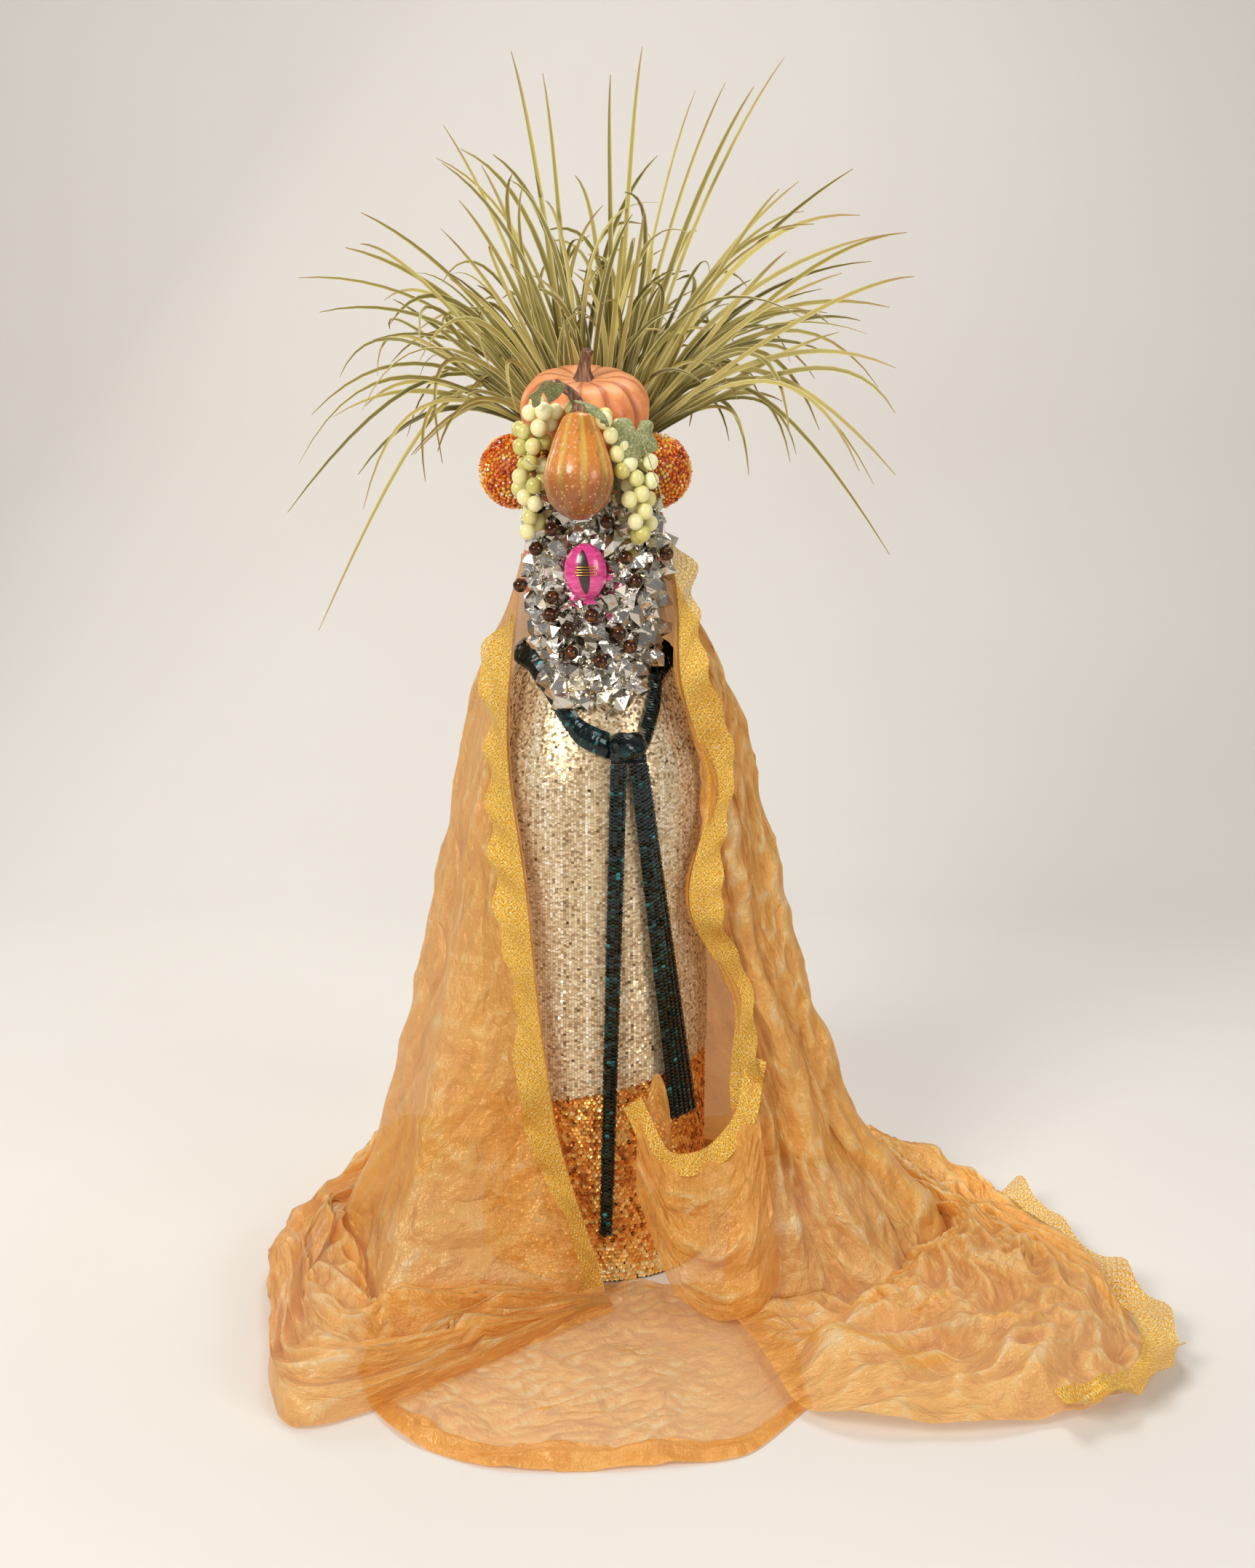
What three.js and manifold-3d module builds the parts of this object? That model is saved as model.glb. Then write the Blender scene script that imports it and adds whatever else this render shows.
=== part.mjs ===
// A harvest art doll: a sequinned column figure with a head of gourds, grapes and bright metal nuggets,
// grass hair, a knotted sequin sash and a sheer floor-length cape edged with gold mesh ribbon.
// Millimetres, +Z up. The origin is the centre of the base's underside, and the face looks along -Y.
import * as THREE from "three";
import { mergeVertices } from "three/addons/utils/BufferGeometryUtils.js";
import Module from "manifold-3d";

const wasm = await Module();
wasm.setup();

// Clearances
const SEAT_GAP = 0.3;
const CLOTH_EASE = 0.6;

// Column: a round base, a cardboard tube and a foam shoulder
const BASE_DIAMETER = 214;
const BASE_THICKNESS = 15;
const BASE_ROUND = 3;
const TUBE_DIAMETER = 203;
const TUBE_WALL = 4;
const TUBE_LENGTH = 440;
const PLUG_HEIGHT = 22;
const SHOULDER_HEIGHT = 130;
const SHOULDER_FALL = 1.5;
const SPIGOT_DEPTH = 40;
const NECK_DIAMETER = 112;
const DOWEL_DIAMETER = 25;

// Head: a painted bulb, a foam crown block, two beaded balls and a pumpkin on top
const HEAD_DIAMETER = 128;
const HEAD_HEIGHT = 127;
const HEAD_FOOT_DIAMETER = 96;
const HEAD_TOP_DIAMETER = 80;
const CROWN_WIDTH = 116;
const CROWN_FRONT = 40;
const CROWN_BACK = 86;
const CROWN_HEIGHT = 32;
const CROWN_SHIFT = -7;
const BALL_DIAMETER = 68;
const BALL_SPAN = 192;
const BALL_RAISE = 3;
const EAR_ROD_DIAMETER = 6;
const EAR_ROD_IN_BALL = 24;
const PUMPKIN_DIAMETER = 116;
const PUMPKIN_HEIGHT = 75;
const PUMPKIN_RIBS = 11;
const PUMPKIN_RIB_DEPTH = 0.07;
const PUMPKIN_TILT = 20;
const PUMPKIN_FORWARD = 16;
const PUMPKIN_STEM_LENGTH = 24;
const PUMPKIN_STEM_DIAMETER = 11;
const GOURD_DIAMETER = 60;
const GOURD_HEIGHT = 92;
const GOURD_RIBS = 9;
const GOURD_RIB_DEPTH = 0.035;
const GOURD_TILT = 12;
const GOURD_STEM_LENGTH = 34;
const GOURD_STEM_DIAMETER = 10;

// Face: a crust of metal nuggets glued side to side, amber marbles and a wire-bound mouth
const FACE_HALF_ANGLE = 52;
const FACE_TURN = 3.5;
const CHIN_HALF_ANGLE = 13;
const CHEEK_SHARE = 0.38;
const FACE_HEIGHT = 172;
const FACE_BELOW_HEAD_TOP = 12;
const NUGGET_SIZE = 23.4;
const NUGGET_STEP = 21.6;
const NUGGET_PROUD = 4;
const MARBLE_DIAMETER = 12;
const MARBLE_PROUD = 8;
const MOUTH_WIDTH = 37;
const MOUTH_HEIGHT = 49;
const MOUTH_DEPTH = 28;
const MOUTH_ABOVE_CHIN = 119;
const MOUTH_TURN = -4;
const SLIT_WIDTH = 10;
const SLIT_HEIGHT = 39;
const SLIT_DEPTH = 3;
const WIRE_DIAMETER = 1;
const WIRE_PASSES = 4;
const WIRE_PITCH = 4;

// Fruit at the brow
const GRAPE_DIAMETER = 13.4;
const GRAPE_RING = 95;
const RACHIS_DIAMETER = 4;
const PEDICEL_DIAMETER = 2.4;
const LEAF_THICKNESS = 1.2;
const LEAF_LENGTH = 46;

// Hair
const GRASS_BLADES = 84;
const GRASS_WIDTH = 4;
const GRASS_STEPS = 4;
const GRASS_ROOT_WIDTH = 96;
const GRASS_ROOT_DEPTH = 30;
const GRASS_PLUG_HEIGHT = 26;
const GRASS_LONGEST = 352;
const GRASS_SHORTEST = 150;

// Clothes
const SEQUIN_CLOTH = 2;
const SKIRT_TOP = 250;
const SKIRT_CLEAR = 1;
const SKIRT_FLARE = 70;
const HEM_HEIGHT = 182;
const HEM_TILT = 11;
const SASH_WIDTH = 25;
const SASH_EASE = 1.2;
const COLLAR_WIDTH = 21;
const SASH_THICKNESS = 5;
const SASH_KNOT_WIDTH = 34;
const SASH_KNOT_HEIGHT = 30;
const SASH_KNOT_TURN = 18;
const SASH_KNOT_ABOVE_TUBE = 42;
const TAIL_LEFT_LENGTH = 432;
const TAIL_LEFT_END_WIDTH = 10;
const TAIL_RIGHT_LENGTH = 330;
const TAIL_LEFT_LEAN = -12;
const TAIL_RIGHT_LEAN = 42;
const TAIL_STAND_OFF = 9;
const CAPE_CLOTH = 1.6;
const CAPE_FOLDS = 8;
const CAPE_FOLD_DEPTH = 15;
const CAPE_HANG_SHARE = 0.62;
const CAPE_LIFT = 3;
const CAPE_CORNER_RISE = 30;
const RIBBON_WIDTH = 22;
const RIBBON_THICKNESS = 1;
const RIBBON_LAPEL = 34;
const SWAG_BELLY = 14;
const TRAIN_FRONT_REACH = 415;
const TRAIN_FRONT_WIDTH = 350;

// Facets
const ROUND = 28;

// Heights worked out from the stack
const tubeRadius = TUBE_DIAMETER / 2;
const neckRadius = NECK_DIAMETER / 2;
const headRadius = HEAD_DIAMETER / 2;
const dowelRadius = DOWEL_DIAMETER / 2;
const ballRadius = BALL_DIAMETER / 2;
const marbleRadius = MARBLE_DIAMETER / 2;
const grapeRadius = GRAPE_DIAMETER / 2;
const tubeFoot = BASE_THICKNESS + SEAT_GAP;
const tubeTop = tubeFoot + TUBE_LENGTH;
const shoulderFoot = tubeTop + SEAT_GAP;
const shoulderTop = shoulderFoot + SHOULDER_HEIGHT;
const headFoot = shoulderTop + CLOTH_EASE + SEQUIN_CLOTH;
const headTop = headFoot + HEAD_HEIGHT;
const crownFoot = headTop + SEAT_GAP;
const crownTop = crownFoot + CROWN_HEIGHT;
const ballHeight = (crownFoot + crownTop) / 2 + BALL_RAISE;
const ballReach = BALL_SPAN / 2 - ballRadius;
const faceTop = headTop - FACE_BELOW_HEAD_TOP;
const chin = faceTop - FACE_HEIGHT;
const knotHeight = tubeTop + SASH_KNOT_ABOVE_TUBE;
const capeTop = headFoot + HEAD_HEIGHT * 0.57;

const root = new THREE.Group();
const V3 = THREE.Vector3;
const rad = THREE.MathUtils.degToRad;
const lerp = THREE.MathUtils.lerp;

// A point at an angle from the face (degrees, positive towards +X), a radius and a height.
const around = (angle, radius, z) =>
  new V3(radius * Math.sin(rad(angle)), -radius * Math.cos(rad(angle)), z);

// Seeded numbers from 0 to 1, the same on every run.
function randomFrom(seed) {
  let state = seed;
  return () => {
    state = (state * 1664525 + 1013904223) % 4294967296;
    return state / 4294967296;
  };
}

// Solids: geometry to manifold and back.
function solid(geometry) {
  const bare = new THREE.BufferGeometry();
  bare.setAttribute("position", geometry.getAttribute("position").clone());
  if (geometry.index) bare.setIndex(geometry.index.clone());
  const merged = mergeVertices(bare, 1e-3);
  const corners = merged.index.array;
  const kept = [];
  for (let i = 0; i < corners.length; i += 3) {
    const [a, b, c] = [corners[i], corners[i + 1], corners[i + 2]];
    if (a !== b && b !== c && c !== a) kept.push(a, b, c);
  }
  const vertProperties = merged.getAttribute("position").array;
  const made = (triVerts) =>
    new wasm.Manifold(new wasm.Mesh({ numProp: 3, vertProperties, triVerts: new Uint32Array(triVerts) }));
  const first = made(kept);
  return first.volume() > 0 ? first : made(kept.reverse());
}

function geometryOf(manifold) {
  const mesh = manifold.getMesh();
  const geometry = new THREE.BufferGeometry();
  geometry.setAttribute("position", new THREE.BufferAttribute(mesh.vertProperties, 3));
  geometry.setIndex(new THREE.BufferAttribute(mesh.triVerts, 1));
  geometry.computeVertexNormals();
  return geometry;
}

const join = (solids) => solids.reduce((whole, next) => whole.add(next));
const cut = (whole, cutters) => cutters.reduce((left, cutter) => left.subtract(cutter), whole);

// The largest body of a cut solid, so that a trimmed piece stays one body.
function largest(manifold) {
  return manifold.decompose().reduce((a, b) => (a.volume() >= b.volume() ? a : b));
}

const finish = (color, roughness, metalness = 0) =>
  new THREE.MeshStandardMaterial({ color, roughness, metalness });

const LOOKS = {
  wood: finish("#a9855a", 0.8),
  card: finish("#b49a74", 0.9),
  foam: finish("#c9c2a8", 0.95),
  coral: finish("#d1512c", 0.35),
  copper: finish("#8c431c", 0.35, 0.6),
  champagne: finish("#b59a78", 0.4, 0.5),
  chrome: finish("#c8c8c6", 0.15, 1),
  amber: finish("#3a1608", 0.05),
  pink: finish("#e0468c", 0.3),
  dark: finish("#2a1a16", 0.4),
  gold: finish("#d9a53a", 0.3, 0.9),
  pumpkin: finish("#dd7a52", 0.45),
  gourd: finish("#b9642c", 0.4),
  stalk: finish("#6a4a35", 0.85),
  grape: finish("#c9cf86", 0.3),
  leaf: finish("#8d9560", 0.8),
  beads: finish("#cc5a14", 0.2),
  grass: finish("#8c8a45", 0.7),
  sash: finish("#0c2b2a", 0.3, 0.4),
  organza: finish("#f0a552", 0.5),
  ribbon: finish("#dba52c", 0.4, 0.6),
};

function addPart(name, manifold, look) {
  const mesh = new THREE.Mesh(geometryOf(manifold), LOOKS[look]);
  mesh.name = name;
  root.add(mesh);
}

// Shapes
function revolve(profile, segments = ROUND) {
  const points = profile.map(([r, z]) => new THREE.Vector2(r, z));
  return new THREE.LatheGeometry(points, segments).rotateX(Math.PI / 2);
}

const closed = (profile) => [...profile, profile[0]];

function rod(from, to, radius, sides = 12) {
  const length = from.distanceTo(to);
  const turn = new THREE.Quaternion().setFromUnitVectors(
    new V3(0, 1, 0), to.clone().sub(from).normalize());
  const middle = from.clone().add(to).multiplyScalar(0.5);
  return new THREE.CylinderGeometry(radius, radius, length, sides)
    .applyQuaternion(turn)
    .translate(middle.x, middle.y, middle.z);
}

function ball(centre, radius, sides, bands) {
  return new THREE.SphereGeometry(radius, sides, bands).translate(centre.x, centre.y, centre.z);
}

// A tube of round section along a smooth path.
function tube(points, radius, steps, sides) {
  const section = new THREE.Shape();
  for (let i = 0; i < sides; i++) {
    const a = (2 * Math.PI * i) / sides;
    section[i ? "lineTo" : "moveTo"](radius * Math.cos(a), radius * Math.sin(a));
  }
  section.closePath();
  return new THREE.ExtrudeGeometry(section, {
    steps,
    extrudePath: new THREE.CatmullRomCurve3(points),
    bevelEnabled: false,
  });
}

// A closed slab of even thickness about the surface pointAt(u, v), with u and v from 0 to 1.
function slab(pointAt, columns, rows, thickness) {
  const wide = columns + 1;
  const grid = [];
  for (let j = 0; j <= rows; j++)
    for (let i = 0; i <= columns; i++) grid.push(pointAt(i / columns, j / rows));
  const at = (i, j) =>
    grid[Math.min(Math.max(j, 0), rows) * wide + Math.min(Math.max(i, 0), columns)];
  const faces = [[], []];
  for (let j = 0; j <= rows; j++)
    for (let i = 0; i <= columns; i++) {
      const across = at(i + 1, j).clone().sub(at(i - 1, j));
      const along = at(i, j + 1).clone().sub(at(i, j - 1));
      const lift = across.cross(along).normalize().multiplyScalar(thickness / 2);
      faces[0].push(at(i, j).clone().add(lift));
      faces[1].push(at(i, j).clone().sub(lift));
    }
  const half = grid.length;
  const index = [];
  const quad = (a, b, c, d) => index.push(a, b, c, a, c, d);
  for (let j = 0; j < rows; j++)
    for (let i = 0; i < columns; i++) {
      const [a, b, c, d] = [j * wide + i, j * wide + i + 1, (j + 1) * wide + i + 1, (j + 1) * wide + i];
      quad(a, b, c, d);
      quad(half + a, half + d, half + c, half + b);
    }
  const rim = [];
  for (let i = 0; i < columns; i++) rim.push(i);
  for (let j = 0; j < rows; j++) rim.push(j * wide + columns);
  for (let i = columns; i > 0; i--) rim.push(rows * wide + i);
  for (let j = rows; j > 0; j--) rim.push(j * wide);
  rim.forEach((a, k) => {
    const b = rim[(k + 1) % rim.length];
    quad(b, a, half + a, half + b);
  });
  const geometry = new THREE.BufferGeometry();
  geometry.setFromPoints([...faces[0], ...faces[1]]);
  geometry.setIndex(index);
  return geometry;
}

// A tapering three-sided blade along points, flat side down, ending in a tip.
function blade(points, width) {
  const last = points.length - 1;
  const corners = [];
  points.slice(0, last).forEach((p, k) => {
    const ahead = points[k + 1].clone().sub(points[Math.max(k - 1, 0)]).normalize();
    const side = new V3(0, 0, 1).cross(ahead);
    if (side.lengthSq() < 1e-6) side.set(1, 0, 0);
    side.normalize();
    const crest = ahead.clone().cross(side);
    const half = (width / 2) * (1 - 0.6 * (k / last) ** 2);
    corners.push(p.clone().addScaledVector(side, half));
    corners.push(p.clone().addScaledVector(crest, half * 0.7));
    corners.push(p.clone().addScaledVector(side, -half));
  });
  const tip = corners.length;
  corners.push(points[last].clone());
  const index = [0, 2, 1];
  for (let k = 0; k < last - 1; k++)
    for (let s = 0; s < 3; s++) {
      const [a, b] = [3 * k + s, 3 * k + ((s + 1) % 3)];
      index.push(a, b, b + 3, a, b + 3, a + 3);
    }
  const end = 3 * (last - 1);
  for (let s = 0; s < 3; s++) index.push(end + s, end + ((s + 1) % 3), tip);
  const geometry = new THREE.BufferGeometry();
  geometry.setFromPoints(corners);
  geometry.setIndex(index);
  return geometry;
}

// Profiles of the dressed column
function shoulderRadius(z) {
  const share = THREE.MathUtils.clamp((z - shoulderFoot) / SHOULDER_HEIGHT, 0, 1);
  return tubeRadius - (tubeRadius - neckRadius) * share ** SHOULDER_FALL;
}

function skirtInner(z) {
  const flare = 1 - THREE.MathUtils.smoothstep(z, BASE_THICKNESS, BASE_THICKNESS + SKIRT_FLARE);
  return lerp(tubeRadius, Math.max(tubeRadius, BASE_DIAMETER / 2), flare) + CLOTH_EASE;
}

function gownInner(z) {
  const overSkirt = 1 - THREE.MathUtils.smoothstep(z, SKIRT_TOP, SKIRT_TOP + SKIRT_FLARE);
  return shoulderRadius(z) + CLOTH_EASE + overSkirt * (SEQUIN_CLOTH + CLOTH_EASE);
}

const gownOuter = (z) => gownInner(z) + SEQUIN_CLOTH;

const heights = (from, to, steps) => Array.from({ length: steps + 1 }, (_, i) => lerp(from, to, i / steps));

const gownRings = [HEM_HEIGHT - 40, SKIRT_TOP, SKIRT_TOP + SKIRT_FLARE, ...heights(shoulderFoot, shoulderTop, 4)];

// The dressed column as one plain solid, grown by a clearance, to trim what lies on it.
function dressedColumn(grow) {
  const rings = gownRings.map((z) => [gownOuter(z) + grow, z]);
  return solid(revolve([[0, gownRings[0]], ...rings, [0, shoulderTop]]));
}

// Base, tube and foam shoulder
function makeColumn() {
  const baseRadius = BASE_DIAMETER / 2;
  addPart("base_disc", solid(revolve([
    [0, 0], [baseRadius - BASE_ROUND, 0], [baseRadius, BASE_ROUND],
    [baseRadius, BASE_THICKNESS - BASE_ROUND], [baseRadius - BASE_ROUND, BASE_THICKNESS], [0, BASE_THICKNESS],
  ])), "wood");
  const bore = tubeRadius - TUBE_WALL;
  addPart("tube_plug", solid(revolve([
    [0, tubeFoot], [bore - SEAT_GAP, tubeFoot], [bore - SEAT_GAP, tubeFoot + PLUG_HEIGHT],
    [0, tubeFoot + PLUG_HEIGHT],
  ])), "wood");
  addPart("body_tube", solid(revolve(closed([
    [bore, tubeFoot], [tubeRadius, tubeFoot], [tubeRadius, tubeTop], [bore, tubeTop],
  ]))), "card");
  const dowelBore = dowelRadius + SEAT_GAP;
  const slope = heights(shoulderFoot, shoulderTop, 4).map((z) => [shoulderRadius(z), z]);
  addPart("shoulder_block", solid(revolve(closed([
    [dowelBore, shoulderFoot - SPIGOT_DEPTH], [bore - SEAT_GAP, shoulderFoot - SPIGOT_DEPTH],
    [bore - SEAT_GAP, shoulderFoot], ...slope, [dowelBore, shoulderTop],
  ]))), "foam");
}

// Ear rod: one skewer through both beaded balls, the crown block and the dowel
const earAxis = (reach) => new V3(CROWN_SHIFT + reach, 0, ballHeight);
const earRod = (grow) => {
  const reach = ballReach - ballRadius + EAR_ROD_IN_BALL + grow;
  return solid(rod(earAxis(-reach), earAxis(reach), EAR_ROD_DIAMETER / 2 + grow, 10));
};
const earBall = (side, grow) => solid(ball(earAxis(side * ballReach), ballRadius + grow, 12, 8));

function headRadiusAt(share) {
  const foot = HEAD_FOOT_DIAMETER / 2;
  const top = HEAD_TOP_DIAMETER / 2;
  const swell = Math.sin(Math.PI * share) ** 0.7;
  const plain = lerp(foot, top, share);
  return plain + (headRadius - plain) * swell;
}

function headSolid(grow, inner) {
  const rings = heights(0, 1, 6).map((share) => [headRadiusAt(share) + grow, headFoot + share * HEAD_HEIGHT]);
  return solid(revolve(closed([[inner, headFoot], ...rings, [inner, headTop]])));
}

function makeHeadCore() {
  const dowelBore = dowelRadius + SEAT_GAP;
  const balls = [-1, 1].map((side) => earBall(side, SEAT_GAP));
  const dowelFoot = new V3(0, 0, shoulderFoot - SPIGOT_DEPTH);
  const dowel = solid(rod(dowelFoot, new V3(0, 0, crownTop), dowelRadius, 20));
  addPart("neck_dowel", dowel.subtract(earRod(SEAT_GAP)), "wood");
  addPart("head_form", cut(headSolid(0, dowelBore), balls), "coral");
  const outline = new THREE.Shape();
  outline.absellipse(0, (CROWN_BACK - CROWN_FRONT) / 2, CROWN_WIDTH / 2, (CROWN_BACK + CROWN_FRONT) / 2, 0, 2 * Math.PI);
  const hole = new THREE.Path();
  hole.absarc(0, 0, dowelBore, 0, 2 * Math.PI, true);
  outline.holes.push(hole);
  const block = new THREE.ExtrudeGeometry(outline, { depth: CROWN_HEIGHT, bevelEnabled: false, curveSegments: 8 });
  block.translate(0, 0, crownFoot);
  addPart("crown_block", cut(solid(block), [...balls, earRod(SEAT_GAP)]), "foam");
  addPart("ear_rod", earRod(0), "wood");
  [-1, 1].forEach((side) => {
    const name = side < 0 ? "ear_ball_left" : "ear_ball_right";
    addPart(name, earBall(side, 0).subtract(earRod(SEAT_GAP)), "beads");
  });
}

// Pumpkin and gourd: revolved bodies with shallow ribs
function ribbed(profile, segments, ribs, depth) {
  const geometry = revolve(profile, segments);
  const spots = geometry.getAttribute("position");
  for (let i = 0; i < spots.count; i++) {
    const angle = Math.atan2(spots.getY(i), spots.getX(i));
    const groove = 1 - depth * (1 - Math.abs(Math.sin((ribs * angle) / 2))) ** 2;
    spots.setX(i, spots.getX(i) * groove);
    spots.setY(i, spots.getY(i) * groove);
  }
  return geometry;
}

function pumpkinShape(grow) {
  const radius = PUMPKIN_DIAMETER / 2 + grow;
  const half = PUMPKIN_HEIGHT / 2 + grow;
  const profile = heights(-90, 90, 10).map((a) => {
    const dimple = 0.2 * Math.abs(Math.sin(rad(a))) ** 8;
    return [radius * Math.cos(rad(a)) ** 0.75, half * Math.sin(rad(a)) * (1 - dimple)];
  });
  profile[0][0] = 0;
  profile[profile.length - 1][0] = 0;
  return ribbed(profile, PUMPKIN_RIBS * 3, PUMPKIN_RIBS, PUMPKIN_RIB_DEPTH).rotateX(rad(PUMPKIN_TILT));
}

const pumpkinDrop = (() => {
  const shape = pumpkinShape(0);
  shape.computeBoundingBox();
  return -shape.boundingBox.min.z;
})();
const pumpkinCentre = new V3(CROWN_SHIFT, -PUMPKIN_FORWARD, crownTop + SEAT_GAP + pumpkinDrop);
const pumpkinFront = PUMPKIN_FORWARD + PUMPKIN_DIAMETER / 2;
const pumpkinSolid = (grow) => solid(pumpkinShape(grow).translate(...pumpkinCentre.toArray()));

const gourdBellyForward = Math.max(pumpkinFront, faceRing(faceTop) + NUGGET_PROUD + NUGGET_SIZE * 0.75) + GOURD_DIAMETER / 2;
const gourdFoot = new V3(CROWN_SHIFT - 3, -gourdBellyForward, faceTop - 8);

// Shares of the gourd's height and radius, from the round belly up to the narrow shoulder.
const GOURD_PROFILE = [
  [0, 0], [0.06, 0.51], [0.17, 0.84], [0.36, 1], [0.5, 0.95], [0.65, 0.81], [0.76, 0.7], [0.87, 0.56], [0.95, 0.44],
  [1, 0]];

function gourdSolid(grow) {
  const profile = GOURD_PROFILE.map(([share, swell]) => [
    swell * GOURD_DIAMETER / 2 + (swell > 0 ? grow : 0), share * GOURD_HEIGHT + (share * 2 - 1) * grow]);
  return solid(ribbed(profile, GOURD_RIBS * 3, GOURD_RIBS, GOURD_RIB_DEPTH)
    .rotateX(rad(-GOURD_TILT)).translate(...gourdFoot.toArray()));
}

const gourdUp = new V3(0, Math.sin(rad(GOURD_TILT)), Math.cos(rad(GOURD_TILT)));
const gourdTip = gourdFoot.clone().addScaledVector(gourdUp, GOURD_HEIGHT);

function makePumpkinAndGourd() {
  const pumpkinUp = new V3(0, -Math.sin(rad(PUMPKIN_TILT)), Math.cos(rad(PUMPKIN_TILT)));
  const dimple = pumpkinCentre.clone().addScaledVector(pumpkinUp, PUMPKIN_HEIGHT * 0.4);
  const stemPath = [-0.2, 0.25, 0.65, 1].map((share) =>
    dimple.clone().addScaledVector(pumpkinUp, share * PUMPKIN_STEM_LENGTH).add(new V3(4 * share * share, 0, 0)));
  const pumpkinStem = solid(tube(stemPath, PUMPKIN_STEM_DIAMETER / 2, 5, 7));
  addPart("pumpkin", pumpkinSolid(0), "pumpkin");
  addPart("pumpkin_stem", largest(pumpkinStem.subtract(pumpkinSolid(SEAT_GAP))), "stalk");
  const bend = new V3(-1, 0, 0);
  const gourdStemPath = [-0.15, 0.2, 0.55, 0.8, 1].map((share) =>
    gourdTip.clone().addScaledVector(gourdUp, GOURD_STEM_LENGTH * Math.sin(share * 1.2) * 0.75)
      .addScaledVector(bend, GOURD_STEM_LENGTH * 0.6 * share * Math.abs(share)));
  const gourdStem = solid(tube(gourdStemPath, GOURD_STEM_DIAMETER / 2, 7, 7));
  addPart("gourd", gourdSolid(0), "gourd");
  addPart("gourd_stem", largest(cut(gourdStem, [gourdSolid(SEAT_GAP), pumpkinSolid(SEAT_GAP)])), "stalk");
}

// Face
// The radius of the crust's inner face at a height: it follows the head above and the gown below.
function faceRing(z) {
  const share = THREE.MathUtils.clamp((z - headFoot) / HEAD_HEIGHT, 0, 1);
  const head = share > 0.5 ? lerp(headRadius, headRadiusAt(share), 0.5) : headRadius;
  return Math.max(head, z < shoulderTop ? gownOuter(z) : 0) + SASH_EASE;
}

// The face is a shield: full width at the brow and drawn in to a rounded chin.
const faceHalfAngle = (share) =>
  lerp(CHIN_HALF_ANGLE, FACE_HALF_ANGLE, Math.min(share / CHEEK_SHARE, 1) ** 0.9);
const onFace = (angle, aboveChin, proud) =>
  around(angle, faceRing(chin + aboveChin) + NUGGET_SIZE * 0.3 + proud, chin + aboveChin);

// Marbles: angle from the middle of the face, and share of the face's height above the chin.
const MARBLES = [
  [-26, 0.90], [10, 0.94], [-37, 0.80], [21, 0.76], [28, 0.64],
  [-51, 0.61], [-25, 0.56], [-27, 0.47], [0, 0.47], [-15, 0.40],
  [17, 0.38], [24, 0.31], [-13, 0.28], [5, 0.24], [53, 0.77],
];
const marbleCentre = ([angle, share]) => onFace(angle, share * FACE_HEIGHT, MARBLE_PROUD);

const mouthCentre = around(MOUTH_TURN, faceRing(chin + MOUTH_ABOVE_CHIN) + MOUTH_DEPTH / 2, chin + MOUTH_ABOVE_CHIN);
const mouthShape = (grow) => new THREE.IcosahedronGeometry(1, 2)
  .scale(MOUTH_WIDTH / 2 + grow, MOUTH_DEPTH / 2 + grow, MOUTH_HEIGHT / 2 + grow);
const seatMouth = (geometry) => geometry.rotateZ(rad(MOUTH_TURN)).translate(...mouthCentre.toArray());

// A pointed lens outline drawn through the mouth from front to back.
function slitPrism(grow, reach) {
  const half = SLIT_HEIGHT / 2 + grow;
  const belly = SLIT_WIDTH / 2 + grow;
  const lens = new THREE.Shape();
  lens.moveTo(0, -half);
  lens.quadraticCurveTo(2 * belly, 0, 0, half);
  lens.quadraticCurveTo(-2 * belly, 0, 0, -half);
  const prism = new THREE.ExtrudeGeometry(lens, { depth: reach, bevelEnabled: false, curveSegments: 5 });
  return solid(seatMouth(prism.rotateX(Math.PI / 2)));
}

// One wire laid to and fro across the front of the mouth.
function mouthWire() {
  const path = [];
  const reach = MOUTH_WIDTH * 0.42;
  for (let pass = 0; pass < WIRE_PASSES; pass++)
    for (const step of [-1, -0.5, 0, 0.5, 1]) {
      const x = (pass % 2 ? -step : step) * reach;
      const z = (pass - (WIRE_PASSES - 1) / 2 + step * 0.12) * WIRE_PITCH;
      const dome = 1 - (2 * x / MOUTH_WIDTH) ** 2 - (2 * z / MOUTH_HEIGHT) ** 2;
      const y = -(MOUTH_DEPTH / 2) * Math.sqrt(Math.max(dome, 0)) - WIRE_DIAMETER / 2 - CLOTH_EASE;
      path.push(new V3(x, y, z));
    }
  return solid(seatMouth(tube(path, WIRE_DIAMETER / 2, 30, 4)));
}

// One nugget: a block with each corner pushed in or out, so no two are alike.
function nugget(centre, size, random) {
  const block = new THREE.BoxGeometry(size * 0.72, size * 0.72, size * 0.72);
  const shape = mergeVertices(block.deleteAttribute("normal").deleteAttribute("uv"));
  const spots = shape.getAttribute("position");
  for (let i = 0; i < spots.count; i++) {
    const push = 0.8 + 0.45 * random();
    spots.setXYZ(i, spots.getX(i) * push, spots.getY(i) * push, spots.getZ(i) * push);
  }
  return solid(shape.rotateX(random() * 6).rotateY(random() * 6).translate(centre.x, centre.y, centre.z));
}

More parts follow.
